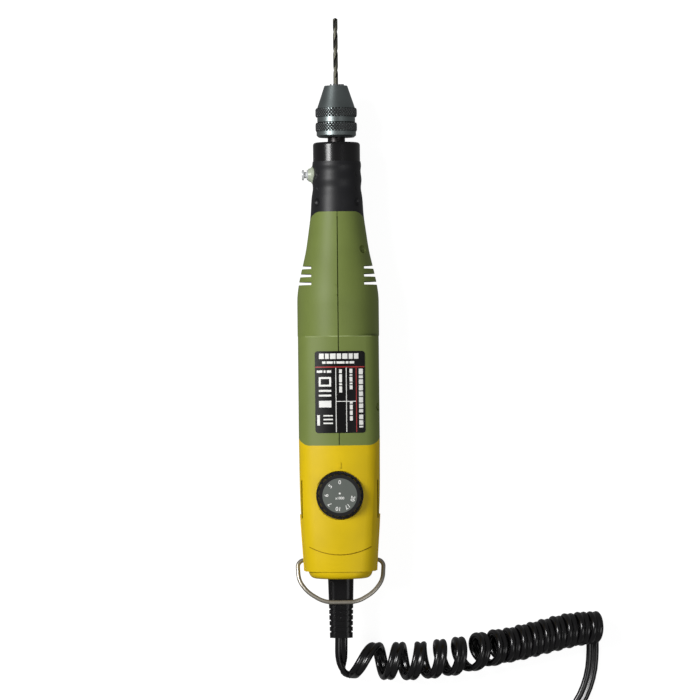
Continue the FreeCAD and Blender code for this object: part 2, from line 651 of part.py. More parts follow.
def cap_recess():
    """Room inside the cap, less the pad under the dial and the ledges for the circuit board."""
    room = square_body(WALL, T_PANEL).common(slab(REAR_WALL, T_CAP + SEAM_CORNER + 1))
    room = room.cut(post(KNOB_RADIUS + 2, BOARD_TOP + POT_HEIGHT, 60, 0, T_KNOB))
    for x0, x1 in ((-60, 1.2 - BOARD_HALF_WIDTH), (BOARD_HALF_WIDTH - 1.2, 60)):
        room = room.cut(block(x0, x1, BOARD_START + 2, T_CAP - SPIGOT_LENGTH - 1,
                              BOARD_FOOT - 1.8, BOARD_FOOT))
    return room


def front_panel():
    """The raised part of the cap's front, with its index mark ahead of the dial."""
    top = T_CAP - 1.2
    right = V(PANEL_END_HALF_WIDTH, PANEL_END, 0)
    left = V(-PANEL_END_HALF_WIDTH, PANEL_END, 0)
    outline = Part.Wire([
        Part.Arc(left, V(0, PANEL_END - PANEL_BOW, 0), right).toShape(),
        Part.LineSegment(right, V(PANEL_HALF_WIDTH, top, 0)).toShape(),
        Part.LineSegment(V(PANEL_HALF_WIDTH, top, 0), V(-PANEL_HALF_WIDTH, top, 0)).toShape(),
        Part.LineSegment(V(-PANEL_HALF_WIDTH, top, 0), left).toShape(),
    ])
    panel = square_body(-PANEL_PROUD, T_PANEL).common(Part.Face(outline).extrude(V(0, 0, 60)))
    start, end = (T_KNOB + KNOB_RADIUS + ahead for ahead in MARK_AHEAD)
    strip = block(-MARK_HALF_WIDTH, MARK_HALF_WIDTH, start, end, 0, 60)
    return panel.fuse(square_body(-2 * PANEL_PROUD, T_PANEL).common(strip))


def rear_cap():
    rear = [section(t, narrower, lower, raised) for t, narrower, lower, raised in REAR_SHAPE]
    shell = square_body(0, T_PANEL).fuse(Part.makeLoft(rear, True, False)).fuse(front_panel())
    strip = block(-60, 60, 0, RAIL_END, -RAIL_HALF_HEIGHT, RAIL_HALF_HEIGHT)
    shell = shell.fuse(square_body(-RAIL_PROUD, T_PANEL).common(strip))
    kept = square_body(SIDE_GROOVE_DEPTH, T_PANEL)
    for middle in (-SIDE_GROOVE_OUT, SIDE_GROOVE_OUT):
        groove = block(middle - SIDE_GROOVE_HALF_WIDTH, middle + SIDE_GROOVE_HALF_WIDTH, *SIDE_GROOVE, 0, 60)
        shell = shell.cut(groove.cut(kept))
    shell = shell.cut(housing_prism()).common(slab(-1, T_CAP + SEAM_CORNER)).cut(cap_recess())
    shell = shell.cut(post(KNOB_RADIUS + 0.4, KNOB_SEAT, 60, 0, T_KNOB))
    shell = shell.cut(post(POT_SHAFT_RADIUS + CLEAR, 0, 60, 0, T_KNOB))
    shell = shell.cut(pin(BAIL_WIRE_RADIUS + RUNNING, -60, 60, BAIL_PIVOT))
    return shell.cut(rod(RELIEF_NECK, -1, REAR_WALL + 1)).removeSplitter()


def rating_label():
    middle = T_CAP + LABEL_AHEAD + LABEL_LENGTH / 2
    plate = block(LABEL_OFFSET - LABEL_WIDTH / 2, LABEL_OFFSET + LABEL_WIDTH / 2,
                  middle - LABEL_LENGTH / 2, middle + LABEL_LENGTH / 2, 0, 60)
    upright = [edge for edge in plate.Edges if edge.BoundBox.ZLength > 50]
    plate = plate.makeFillet(1.2, upright)
    return plate.common(square_body(-LABEL_THICKNESS, T_PANEL)).cut(square_body(0, T_PANEL))


def motor_can():
    front = T_CAN_FRONT - CAN_FRONT_WALL
    inner = MOTOR_RADIUS - CAN_WALL
    return turned([
        (T_CAN, MOTOR_RADIUS), (T_CAN, inner), (front, inner), (front, BUSH_RADIUS),
        (T_CAN_FRONT + BOSS_LENGTH, BUSH_RADIUS), (T_CAN_FRONT + BOSS_LENGTH, 5),
        (T_CAN_FRONT, 5), (T_CAN_FRONT, MOTOR_RADIUS),
    ])


def motor_magnets():
    outer = MOTOR_RADIUS - CAN_WALL
    start, end = T_CAN + 1.5, T_CAN_FRONT - 6
    half = MAGNET_ARC / 2
    return Part.makeCompound([sector(MAGNET_INNER, outer, start, end, middle - half, middle + half)
                              for middle in (0, 180)])


def motor_end_cap():
    inner = MOTOR_RADIUS - END_CAP_WALL
    half = BRUSH_HOLDER_HALF
    shell = turned([
        (T_MOTOR, BUSH_RADIUS), (T_MOTOR, MOTOR_RADIUS), (T_CAN, MOTOR_RADIUS), (T_CAN, inner),
        (T_MOTOR + 1.6, inner), (T_MOTOR + 1.6, END_CAP_HUB_RADIUS), (T_MOTOR + BUSH_LENGTH, END_CAP_HUB_RADIUS),
        (T_MOTOR + BUSH_LENGTH, BUSH_RADIUS),
    ])
    half_t, half_z = (half + RUNNING for half in BRUSH_HALF)
    for side in (-1, 1):
        x0, x1 = sorted((side * 6, side * (MOTOR_RADIUS - 1)))
        shell = shell.fuse(block(x0, x1, T_MOTOR + 1, T_BRUSH + half, -half, half))
        x0, x1 = sorted((side * 5, side * inner))
        shell = shell.cut(block(x0, x1, T_BRUSH - half_t, T_BRUSH + half_t, -half_z, half_z))
    return shell


def motor_bushes():
    bore = SHAFT_RADIUS + 0.03
    rear = ring(BUSH_RADIUS, bore, T_MOTOR, T_MOTOR + BUSH_LENGTH)
    front_end = T_CAN_FRONT + BOSS_LENGTH
    return Part.makeCompound([rear, ring(BUSH_RADIUS, bore, front_end - BUSH_LENGTH, front_end)])


def motor_brushes():
    half_t, half_z = BRUSH_HALF
    inner = COMMUTATOR_RADIUS + RUNNING
    return Part.makeCompound([
        block(inner, BRUSH_OUT, T_BRUSH - half_t, T_BRUSH + half_t, -half_z, half_z),
        block(-BRUSH_OUT, -inner, T_BRUSH - half_t, T_BRUSH + half_t, -half_z, half_z),
    ])


def brush_springs():
    springs = []
    for side in (-1, 1):
        room = MOTOR_RADIUS - END_CAP_WALL - BRUSH_OUT
        spring = coil_spring(BRUSH_SPRING_RADIUS, BRUSH_SPRING_WIRE, room - 0.1, BRUSH_SPRING_TURNS)
        spring.rotate(V(), V(0, 1, 0), side * 90)
        spring.translate(V(side * (BRUSH_OUT + 0.05), T_BRUSH, 0))
        springs.append(spring)
    return Part.makeCompound(springs)


def motor_terminals():
    return Part.makeCompound([block(x - 0.25, x + 0.25, T_MOTOR - TERMINAL_LENGTH, T_MOTOR, -1.4, 1.4)
                              for x in (-TERMINAL_OUT, TERMINAL_OUT)])


def slot_rods(start, end):
    rods = [spun(rod(SLOT_RADIUS, start, end, SLOT_CENTRE), n * 360 / SLOTS) for n in range(SLOTS)]
    return rods[0].multiFuse(rods[1:])


def armature_core():
    end = T_STACK + CORE_STACK_LENGTH
    core = ring(CORE_STACK_RADIUS, SHAFT_RADIUS, T_STACK, end).cut(slot_rods(T_STACK - 1, end + 1))
    for n in range(SLOTS):
        mouth = block(SLOT_CENTRE, CORE_STACK_RADIUS + 1, T_STACK - 1, end + 1, -SLOT_MOUTH_HALF, SLOT_MOUTH_HALF)
        core = core.cut(spun(mouth, n * 360 / SLOTS))
    return core


def armature_windings():
    end = T_STACK + CORE_STACK_LENGTH
    behind, ahead = WINDING_LENGTHS
    rear = ring(CORE_STACK_RADIUS - 0.8, SHAFT_RADIUS + 1, T_STACK - behind, T_STACK)
    front = ring(CORE_STACK_RADIUS - 0.8, SHAFT_RADIUS + 1, end, end + ahead)
    return slot_rods(T_STACK, end).fuse(rear).fuse(front)


def commutator():
    """Copper cylinder, slotted between its segments."""
    start = T_BRUSH - COMMUTATOR_LENGTH / 2
    end = start + COMMUTATOR_LENGTH
    body = ring(COMMUTATOR_RADIUS, SHAFT_RADIUS, start, end)
    for n in range(SLOTS):
        slot = block(COMMUTATOR_RADIUS - 0.8, COMMUTATOR_RADIUS + 1, start - 1, end + 1, -0.15, 0.15)
        body = body.cut(spun(slot, (n + 0.5) * 360 / SLOTS))
    return body


def cooling_fan():
    start = T_CAN_FRONT + BOSS_LENGTH + 1
    end = start + FAN_LENGTH
    fan = rod(FAN_HUB_RADIUS, start, end).fuse(rod(FAN_RADIUS, start, start + FAN_DISC))
    for n in range(BLADES):
        blade = block(FAN_HUB_RADIUS - 0.5, FAN_RADIUS - 0.2, start, end, -0.5, 0.5)
        fan = fan.fuse(spun(blade, n * 360 / BLADES))
    return fan.cut(rod(SHAFT_RADIUS, start - 1, end + 1)).removeSplitter()


def coupling_motor_hub():
    hub = ring(COUPLING_RADIUS, SHAFT_RADIUS, T_COUPLING, T_DOGS)
    end = T_DOGS + COUPLING_DOG
    for start in (-DOG / 2, 180 - DOG / 2):
        hub = hub.fuse(sector(DOG_INNER, COUPLING_RADIUS, T_DOGS, end, start, start + DOG))
    return hub


def coupling_spindle_hub():
    start = T_DOGS + COUPLING_DOG
    hub = ring(COUPLING_RADIUS, SPINDLE_RADIUS, start, start + COUPLING_HUB)
    for angle in (90 - DOG / 2, 270 - DOG / 2):
        hub = hub.fuse(sector(SPINDLE_RADIUS, COUPLING_RADIUS, T_DOGS, start, angle, angle + DOG))
    return hub


def coupling_spider():
    end = T_DOGS + COUPLING_DOG
    spider = ring(DOG_INNER, SHAFT_RADIUS, T_DOGS, end)
    for angle in (0, 90, 180, 270):
        start = angle + DOG / 2
        spider = spider.fuse(sector(DOG_INNER, COUPLING_RADIUS, T_DOGS, end, start, start + 90 - DOG))
    return spider.removeSplitter()


def circuit_board():
    board = block(-BOARD_HALF_WIDTH, BOARD_HALF_WIDTH, BOARD_START, T_BOARD_END, BOARD_FOOT, BOARD_TOP)
    upright = [edge for edge in board.Edges if edge.BoundBox.ZLength > 1]
    return board.makeFillet(1.5, upright)


def potentiometer():
    half = POT_SIDE / 2
    body = block(-half, half, T_KNOB - half, T_KNOB + half, BOARD_TOP, BOARD_TOP + POT_HEIGHT)
    return body.cut(post(POT_SHAFT_RADIUS + RUNNING, BOARD_TOP + 1.5, 60, 0, T_KNOB))


def speed_knob():
    """Flange, scalloped crown and a recess for the dial plate."""
    step = KNOB_FOOT + KNOB_FLANGE
    flange = post(KNOB_RADIUS, KNOB_FOOT, step, 0, T_KNOB)
    crown = Part.makeCone(KNOB_RADIUS - KNOB_STEP, KNOB_RADIUS - 2 * KNOB_STEP, KNOB_TOP - step, V(0, T_KNOB, step))
    lobes = []
    for n in range(KNOB_LOBES):
        angle = math.radians(n * 360 / KNOB_LOBES)
        x = (KNOB_RADIUS - LOBE_CENTRE_IN) * math.cos(angle)
        t = T_KNOB + (KNOB_RADIUS - LOBE_CENTRE_IN) * math.sin(angle)
        lobes.append(post(LOBE_RADIUS, step, KNOB_TOP + 1, x, t))
    knob = flange.fuse(crown.cut(lobes[0].multiFuse(lobes[1:])))
    knob = knob.cut(post(DIAL_RADIUS, KNOB_TOP - DIAL_THICKNESS, KNOB_TOP + 1, 0, T_KNOB))
    return knob.cut(post(POT_SHAFT_RADIUS, 0, SHAFT_TOP, 0, T_KNOB)).removeSplitter()


def arcs_between(points, print_name=None):
    """Straight runs joined by tangent arcs, each as large as its two runs allow."""
    points = [V(*point) for point in points]
    edges, here, radii = [], points[0], []
    for before, corner, after in zip(points, points[1:], points[2:]):
        back, ahead = before - corner, after - corner
        half_turn = (math.pi - back.getAngle(ahead)) / 2
        reach = 0.45 * min(back.Length, ahead.Length)
        radius = reach / math.tan(half_turn)
        back.normalize()
        ahead.normalize()
        start, end = corner + back * reach, corner + ahead * reach
        inward = back + ahead
        inward.normalize()
        middle = corner + inward * (radius / math.cos(half_turn) - radius)
        edges.append(Part.LineSegment(here, start).toShape())
        edges.append(Part.Arc(start, middle, end).toShape())
        radii.append(round(radius, 1))
        here = end
    edges.append(Part.LineSegment(here, points[-1]).toShape())
    if print_name:
        print(print_name, "radii", radii, "length", round(sum(edge.Length for edge in edges), 1))
    return Part.Wire(edges)


def tube_along(points, radius, print_name=None):
    path = arcs_between(points, print_name)
    first, second = V(*points[0]), V(*points[1])
    end = Part.Wire(Part.makeCircle(radius, first, second - first))
    tube = path.makePipeShell([end], True, False)
    if print_name:
        swept = math.pi * radius ** 2 * path.Length
        print(print_name, "volume over section x length", tube.Volume / swept)
    return tube


def motor_leads():
    """From the motor's terminals back to the underside of the board."""
    leads = []
    for side in (-1, 1):
        leads.append(tube_along([
            (side * TERMINAL_OUT, T_MOTOR - TERMINAL_LENGTH, 0), (side * TERMINAL_OUT, T_CAP + 6, -0.5),
            (side * 7.5, T_CAP - 1.5, -3.5), (side * 6, T_BOARD_END - 3, -1),
            (side * 6, T_BOARD_END - 3.5, BOARD_FOOT),
        ], WIRE_RADIUS))
    return Part.makeCompound(leads)


def supply_leads():
    """From the strain relief to the underside of the board."""
    start = REAR_WALL + RELIEF_FLANGE_THICKNESS
    return Part.makeCompound([tube_along([
        (side * 1.3, start, 0), (side * 1.5, start + 4, -0.5), (side * 2.6, start + 9, 0.5),
        (side * 3, start + 10.5, BOARD_FOOT),
    ], WIRE_RADIUS) for side in (-1, 1)])


def wire_bail():
    """Bent wire, made flat behind its pivots and then lifted until it lies on the strain relief."""
    side = [(BAIL_HALF_WIDTH - 5.2, 0), (BAIL_HALF_WIDTH - 1.6, 0), (BAIL_HALF_WIDTH, -1.8),
            (BAIL_HALF_WIDTH - 0.4, -8.8), (BAIL_HALF_WIDTH - 4.2, -14.0), (7.0, -BAIL_REACH)]
    points = [(x, BAIL_PIVOT + t, 0) for x, t in side]
    points += [(-x, BAIL_PIVOT + t, 0) for x, t in reversed(side)]
    bail = tube_along(points, BAIL_WIRE_RADIUS)
    lift = math.degrees(math.asin((RELIEF_HEIGHT / 2 + BAIL_WIRE_RADIUS) / BAIL_REACH))
    bail.rotate(V(0, BAIL_PIVOT, 0), V(1, 0, 0), -lift)
    return bail


def relief_section(t, width, height):
    corner = 0.38 * height
    outline = block(-width / 2, width / 2, t, t + 1, -height / 2, height / 2)
    outline = outline.makeFillet(corner, [edge for edge in outline.Edges if edge.BoundBox.YLength > 0.5])
    face = [face for face in outline.Faces if face.BoundBox.YMax < t + 0.01]
    return face[0].OuterWire


def relief_body(inset):
    return Part.makeLoft([
        relief_section(0, RELIEF_WIDTH - 2 * inset, RELIEF_HEIGHT - 2 * inset),
        relief_section(-RELIEF_LENGTH, RELIEF_END_WIDTH - 2 * inset, RELIEF_END_HEIGHT - 2 * inset),
    ], True, True)


def strain_relief():
    body = relief_body(0)
    grooves = relief_body(-1).cut(relief_body(RELIEF_GROOVE_DEPTH))
    for behind, width in RELIEF_GROOVES:
        body = body.cut(grooves.common(slab(-behind - width / 2, -behind + width / 2)))
    flange = rod(RELIEF_NECK + RELIEF_FLANGE, REAR_WALL, REAR_WALL + RELIEF_FLANGE_THICKNESS)
    neck = rod(RELIEF_NECK, 0, REAR_WALL).fuse(flange)
    return body.fuse(neck)


def slanted(radius, length, ahead=0.0):
    """Rod along the first jaw's path, from ahead of the jaw tips to length behind them."""
    direction = V(math.sin(SLANT), -math.cos(SLANT), 0)
    front = V(JAW_CENTRE, T_JAWS, 0) - direction * ahead
    return Part.makeCylinder(radius, length + ahead, front, direction)


def jaw_outside(t):
    """Distance from the tool axis to the outermost line of the jaws."""
    return JAW_CENTRE + (T_JAWS - t) * math.tan(SLANT) + JAW_RADIUS / math.cos(SLANT)


def chuck_hub():
    band = T_HUB + RIM_LENGTH
    hub = turned([
        (T_HUB, SPINDLE_RADIUS), (T_HUB, CHUCK_RADIUS - 1), (T_HUB + 0.8, CHUCK_RADIUS - 0.1),
        (band, CHUCK_RADIUS - 0.1), (band, CHUCK_RADIUS), (band + BAND_LENGTH, CHUCK_RADIUS),
        (band + BAND_LENGTH, CORE_RADIUS), (T_CORE_CONE, CORE_RADIUS), (T_CORE_FRONT, CORE_FRONT_RADIUS),
        (T_NOSE - 0.3, CORE_FRONT_RADIUS), (T_NOSE - 0.3, 1.75), (T_SPINDLE_END, 1.75),
        (T_SPINDLE_END, SPINDLE_RADIUS),
    ])
    for n in range(3):
        hub = hub.cut(spun(slanted(JAW_RADIUS + RUNNING, JAW_LENGTH + JAW_TRAVEL + 0.4, 2), n * 120))
    return hub


def chuck_sleeve():
    inner = CORE_FRONT_RADIUS + RUNNING
    return turned([
        (T_SLEEVE, 6.9), (T_SLEEVE, NECK_RADIUS), (T_NUT, NECK_RADIUS), (T_NUT, CHUCK_RADIUS),
        (T_CONE, CHUCK_RADIUS), (T_CONE, CHUCK_RADIUS - 0.4), (T_NOSE, CONE_FRONT_RADIUS), (T_NOSE, inner),
        (T_CORE_FRONT - 0.1, inner), (T_CONE, jaw_outside(T_CONE) + 0.12), (T_CONE, CHUCK_RADIUS - 1.1),
        (T_NUT, CHUCK_RADIUS - 1.1), (T_NUT, 6.9),
    ])


def chuck_nut():
    """Ring that drives the jaws; its thread is left out, so its cone runs just clear of them."""
    return turned([
        (T_NUT, jaw_outside(T_NUT) + 0.06), (T_NUT, CHUCK_RADIUS - 1.1), (T_CONE, CHUCK_RADIUS - 1.1),
        (T_CONE, jaw_outside(T_CONE) + 0.06),
    ])


def chuck_jaw(n):
    face = BIT_RADIUS + GRIP_CLEARANCE
    apex = face - 0.16
    far = 9.0
    spread = math.tan(math.radians(60))
    corners = [V(face, 150, -(face - apex) * spread), V(far, 150, -(far - apex) * spread),
               V(far, 150, (far - apex) * spread), V(face, 150, (face - apex) * spread)]
    wedge = Part.Face(Part.makePolygon(corners + corners[:1])).extrude(V(0, 100, 0))
    jaw = slanted(JAW_RADIUS, JAW_LENGTH, 2).common(wedge).common(slab(T_CONE - 20, T_JAWS))
    return spun(jaw, n * 120)


def fluted_section(t):
    """Outline across the fluted part of the drill bit: two lands between two round flutes."""
    land = (BIT_RADIUS ** 2 + FLUTE_CENTRE ** 2 - FLUTE_RADIUS ** 2) / (2 * FLUTE_CENTRE)
    edge = math.sqrt(BIT_RADIUS ** 2 - land ** 2)
    corners = [V(land, t, edge), V(-land, t, edge), V(-land, t, -edge), V(land, t, -edge)]
    web = FLUTE_CENTRE - FLUTE_RADIUS
    middles = [V(0, t, BIT_RADIUS), V(-web, t, 0), V(0, t, -BIT_RADIUS), V(web, t, 0)]
    ends = corners[1:] + corners[:1]
    outline = Part.Wire([Part.Arc(a, b, c).toShape() for a, b, c in zip(corners, middles, ends)])
    turn = (t - T_TIP + FLUTE_NARROW) / FLUTE_PITCH * 360
    return spun(outline, turn)


def drill_bit():
    start = T_TIP - BIT_LENGTH
    shank_end = T_TIP - FLUTE_LENGTH
    shank = turned([(start, 0), (start, BIT_RADIUS - 0.1), (start + 0.1, BIT_RADIUS), (shank_end, BIT_RADIUS),
                    (shank_end, 0)])
    steps = math.ceil(FLUTE_LENGTH / FLUTE_PITCH * 360 / FLUTE_STEP)
    sections = [fluted_section(shank_end + n * FLUTE_LENGTH / steps) for n in range(steps + 1)]
    point = BIT_RADIUS / math.tan(math.radians(POINT_HALF_ANGLE))
    sharpened = turned([(shank_end, 0), (shank_end, BIT_RADIUS + 1), (T_TIP - point, BIT_RADIUS + 1),
                        (T_TIP - point, BIT_RADIUS), (T_TIP, 0)])
    fluted = Part.makeLoft(sections, True, False).common(sharpened)
    return shank.fuse(fluted)


def hank_block(inset):
    """Outer shape of the folded flex, lying along X."""
    width = HANK_WIDTH - 2 * inset
    low = inset - BACK_DEPTH
    high = HANK_HEIGHT - inset - BACK_DEPTH
    body = block(0, HANK_LENGTH, HANK_MIDDLE - width / 2, HANK_MIDDLE + width / 2, low, high)
    along = [edge for edge in body.Edges if edge.BoundBox.XLength > 50]
    return body.makeFillet(3.2, along)


def hank_band():
    middle = HANK_LENGTH / 2
    half = TIE_WIDTH / 2
    band = block(middle - half, middle + half, HANK_MIDDLE - HANK_WIDTH, HANK_MIDDLE + HANK_WIDTH, -60, 60)
    return band.common(hank_block(0)).cut(hank_block(TIE_THICKNESS))


def plug_body():
    half = PLUG_WIDTH / 2
    low = 1.0 - BACK_DEPTH
    body = block(-PLUG_LENGTH, 0, HANK_MIDDLE - half, HANK_MIDDLE + half, low, low + PLUG_HEIGHT)
    return body.makeFillet(2.5, [edge for edge in body.Edges if edge.BoundBox.XLength > 20])


def plug_pins():
    height = 1.0 - BACK_DEPTH + PLUG_HEIGHT / 2
    return Part.makeCompound([
        pin(PIN_RADIUS, -PLUG_LENGTH, -PLUG_LENGTH - PIN_LENGTH, HANK_MIDDLE + offset, height)
        for offset in (-PIN_SPACING / 2, PIN_SPACING / 2)
    ])


left, right = housing_halves()
export("housing_left", left)
export("housing_right", right)
export("housing_screws", housing_screws())
export("nose_grip", nose_grip())
export("nose_collar", nose_collar())
for place, start in (("front", T_FRONT_BEARING), ("rear", T_REAR_BEARING)):
    outer_race, inner_race, balls = ball_bearing(start)
    export(f"{place}_bearing_outer_race", outer_race)
    export(f"{place}_bearing_inner_race", inner_race)
    export(f"{place}_bearing_balls", balls)
export("spindle", spindle())
clip_start = T_REAR_BEARING - CLIP_WIDTH
export("spindle_clip", ring(SHOULDER_RADIUS + 0.2, SPINDLE_RADIUS, clip_start, T_REAR_BEARING))
export("bearing_seal", ring(BEARING_RADIUS, SHOULDER_RADIUS, T_SEAL, T_SEAL + SEAL_WIDTH))
export("lock_bush", lock_bush())
export("lock_button", lock_button())
export("lock_spring", lock_spring())
export("rear_cap", rear_cap())
export("rating_label", rating_label())
export("motor_can", motor_can())
export("motor_magnets", motor_magnets())
export("motor_end_cap", motor_end_cap())
export("motor_bushes", motor_bushes())
export("motor_brushes", motor_brushes())
export("brush_springs", brush_springs())
export("motor_terminals", motor_terminals())
export("armature_shaft", rod(SHAFT_RADIUS, T_MOTOR - 0.8, T_DOGS))
export("armature_core", armature_core())
export("armature_windings", armature_windings())
export("commutator", commutator())
export("cooling_fan", cooling_fan())
export("coupling_motor_hub", coupling_motor_hub())
export("coupling_spider", coupling_spider())
export("coupling_spindle_hub", coupling_spindle_hub())
export("circuit_board", circuit_board())
export("potentiometer", potentiometer())
export("potentiometer_shaft", post(POT_SHAFT_RADIUS, BOARD_TOP + 2, SHAFT_TOP, 0, T_KNOB))
export("smoothing_capacitor", post(4, BOARD_FOOT - 11, BOARD_FOOT, -7, T_KNOB - 5))
export("power_transistor", block(1, 11, T_KNOB - 9, T_KNOB - 4.5, BOARD_FOOT - 15, BOARD_FOOT))
export("controller_chip", block(-3, 3, T_KNOB - 18, T_KNOB - 14, BOARD_TOP, BOARD_TOP + 1.5))
export("motor_leads", motor_leads())
export("supply_leads", supply_leads())
export("speed_knob", speed_knob())
export("dial_plate", post(DIAL_RADIUS, KNOB_TOP - DIAL_THICKNESS, KNOB_TOP, 0, T_KNOB))
export("wire_bail", wire_bail())
export("strain_relief", strain_relief())
export("chuck_hub", chuck_hub())
export("chuck_sleeve", chuck_sleeve())
export("chuck_nut", chuck_nut())
for n in range(3):
    export(f"chuck_jaw_{n + 1}", chuck_jaw(n))
export("drill_bit", drill_bit())
export("cord_lead", tube_along(LEAD_ROUTE, CORD_RADIUS, "cord_lead"))
export("cord_coil", tube_along(COIL_ROUTE, COIL_RADIUS, "cord_coil"))
export("cord_tail", tube_along(TAIL_ROUTE, CORD_RADIUS, "cord_tail"))
export("cord_hank", hank_block(0).cut(hank_band()))
export("hank_tie", hank_band())
export("plug_body", plug_body())
export("plug_pins", plug_pins())
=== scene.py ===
import bpy
import math
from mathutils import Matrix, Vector


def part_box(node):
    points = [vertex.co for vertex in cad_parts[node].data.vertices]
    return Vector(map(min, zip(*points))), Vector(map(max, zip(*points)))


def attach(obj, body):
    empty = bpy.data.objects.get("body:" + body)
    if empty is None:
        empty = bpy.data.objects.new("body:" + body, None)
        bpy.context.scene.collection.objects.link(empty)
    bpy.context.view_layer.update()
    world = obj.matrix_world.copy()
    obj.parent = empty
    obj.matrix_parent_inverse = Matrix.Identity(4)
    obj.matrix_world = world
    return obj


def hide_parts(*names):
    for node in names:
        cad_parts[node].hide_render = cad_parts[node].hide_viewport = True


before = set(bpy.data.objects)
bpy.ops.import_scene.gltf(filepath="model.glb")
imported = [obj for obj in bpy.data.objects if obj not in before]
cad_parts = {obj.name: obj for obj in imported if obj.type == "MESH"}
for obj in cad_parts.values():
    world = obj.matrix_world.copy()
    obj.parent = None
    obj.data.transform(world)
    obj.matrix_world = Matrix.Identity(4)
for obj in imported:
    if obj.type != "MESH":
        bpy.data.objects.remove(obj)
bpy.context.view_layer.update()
MM = 0.001

# Places, from the frame. The part lies on z = 0 with its nose towards +Y.
AXIS_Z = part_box("spindle")[0][2] / 2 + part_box("spindle")[1][2] / 2
CAP_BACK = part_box("rear_cap")[0][1]   # rear face of the cap
KNOB = (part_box("dial_plate")[0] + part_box("dial_plate")[1]) / 2
DIAL_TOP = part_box("dial_plate")[1][2]


def place(x, t, z):
    """Point in metres from millimetres: across, forwards from the rear face, out from the tool axis."""
    return Vector((x * MM, CAP_BACK + t * MM, AXIS_Z + z * MM))


# ---------------------------------------------------------------- finishes

class Value:
    """A shader value that varies over a surface; Python arithmetic adds Math nodes."""

    def __init__(self, finish, socket):
        self.finish = finish
        self.socket = socket

    def math(self, operation, *others, clamp=False):
        settings = {"operation": operation, "use_clamp": clamp}
        inputs = {n: other for n, other in enumerate((self, *others))}
        return self.finish.node("ShaderNodeMath", settings, inputs)

    def __add__(self, other):
        return self.math("ADD", other)

    def __radd__(self, other):
        return self.math("ADD", other)

    def __sub__(self, other):
        return self.math("SUBTRACT", other)

    def __rsub__(self, other):
        return (self * -1) + other

    def __mul__(self, other):
        return self.math("MULTIPLY", other)

    def __rmul__(self, other):
        return self.math("MULTIPLY", other)

    def __truediv__(self, other):
        return self.math("DIVIDE", other)

    def __pow__(self, other):
        return self.math("POWER", other)

    def sine(self):
        return self.math("SINE")

    def between(self, low, high):
        """0 at low, 1 at high, held outside."""
        return ((self - low) / (high - low)).math("ADD", 0.0, clamp=True)


class Finish:
    """One material, built node by node around a Principled shader."""

    def __init__(self, name, color, roughness, **constants):
        self.material = bpy.data.materials.new(name)
        self.material.use_nodes = True
        self.nodes = self.material.node_tree.nodes
        self.links = self.material.node_tree.links
        self.shader = self.nodes["Principled BSDF"]
        self.color = srgb(*color)
        self.material.diffuse_color = self.color
        self.shader.inputs["Base Color"].default_value = self.color
        self.shader.inputs["Roughness"].default_value = roughness
        for socket, constant in constants.items():
            self.shader.inputs[socket.replace("_", " ")].default_value = constant
        self.place = self.node("ShaderNodeTexCoord", {}, {}, "Object")

    def node(self, kind, settings, inputs, output=0):
        made = self.nodes.new(kind)
        for setting, wanted in settings.items():
            setattr(made, setting, wanted)
        for socket, wanted in inputs.items():
            if isinstance(wanted, Value):
                self.links.new(wanted.socket, made.inputs[socket])
            else:
                made.inputs[socket].default_value = wanted
        return Value(self, made.outputs[output])

    def axes(self):
        """Across, forwards and up, in metres."""
        split = self.node("ShaderNodeSeparateXYZ", {}, {0: self.place})
        outputs = split.socket.node.outputs
        return [Value(self, outputs[n]) for n in range(3)]

    def from_axis(self):
        """Distance from the tool axis, in metres."""
        across, _, up = self.axes()
        return (across * across + (up - AXIS_Z) * (up - AXIS_Z)) ** 0.5

    def noise(self, per_metre, detail=2.0, stretch=None):
        place = self.place
        if stretch:
            place = self.node("ShaderNodeMapping", {}, {"Vector": place, "Scale": stretch})
        return self.node("ShaderNodeTexNoise", {}, {"Vector": place, "Scale": per_metre, "Detail": detail})

    def mix(self, share, first, second):
        """Colour between first and second."""
        return self.node("ShaderNodeMix", {"data_type": "RGBA"}, {0: share, 6: first, 7: second}, 2)

    def paint(self, color):
        self.links.new(color.socket, self.shader.inputs["Base Color"])

    def rough(self, value):
        self.links.new(value.socket, self.shader.inputs["Roughness"])

    def bump(self, height, distance):
        normal = self.node("ShaderNodeBump", {}, {"Height": height, "Distance": distance, "Strength": 1.0})
        self.links.new(normal.socket, self.shader.inputs["Normal"])

    def vary(self, per_metre, dark, light, rough_low, rough_high):
        """Slightly uneven colour and gloss."""
        patches = self.noise(per_metre, 3.0)
        shades = [tuple(min(1.0, part * share) for part in self.color[:3]) + (1.0,)
                  for share in (dark, light)]
        self.paint(self.mix(patches.between(0.3, 0.7), *shades))
        self.rough(patches * (rough_high - rough_low) + rough_low)


def srgb(red, green, blue):
    def linear(part):
        part = part / 255
        return part / 12.92 if part <= 0.04045 else ((part + 0.055) / 1.055) ** 2.4
    return (linear(red), linear(green), linear(blue), 1.0)


def moulded_plastic(name, color, roughness, grain=0.00002, **constants):
    finish = Finish(name, color, roughness, **constants)
    finish.vary(60, 0.93, 1.05, roughness - 0.05, roughness + 0.07)
    finish.bump(finish.noise(2200, 3.0), grain)
    return finish.material


def turned_steel(name, color, roughness, metallic=1.0):
    """Steel with fine marks round the tool axis."""
    finish = Finish(name, color, roughness, Metallic=metallic)
    finish.vary(90, 0.85, 1.1, roughness - 0.05, roughness + 0.08)
    finish.bump(finish.noise(5000, 2.0, (0.02, 1.0, 0.02)), 0.000006)
    return finish.material


def plain_metal(name, color, roughness, metallic=1.0):
    finish = Finish(name, color, roughness, Metallic=metallic)
    finish.vary(120, 0.9, 1.05, roughness - 0.04, roughness + 0.06)
    finish.bump(finish.noise(3000, 2.0), 0.000004)
    return finish.material


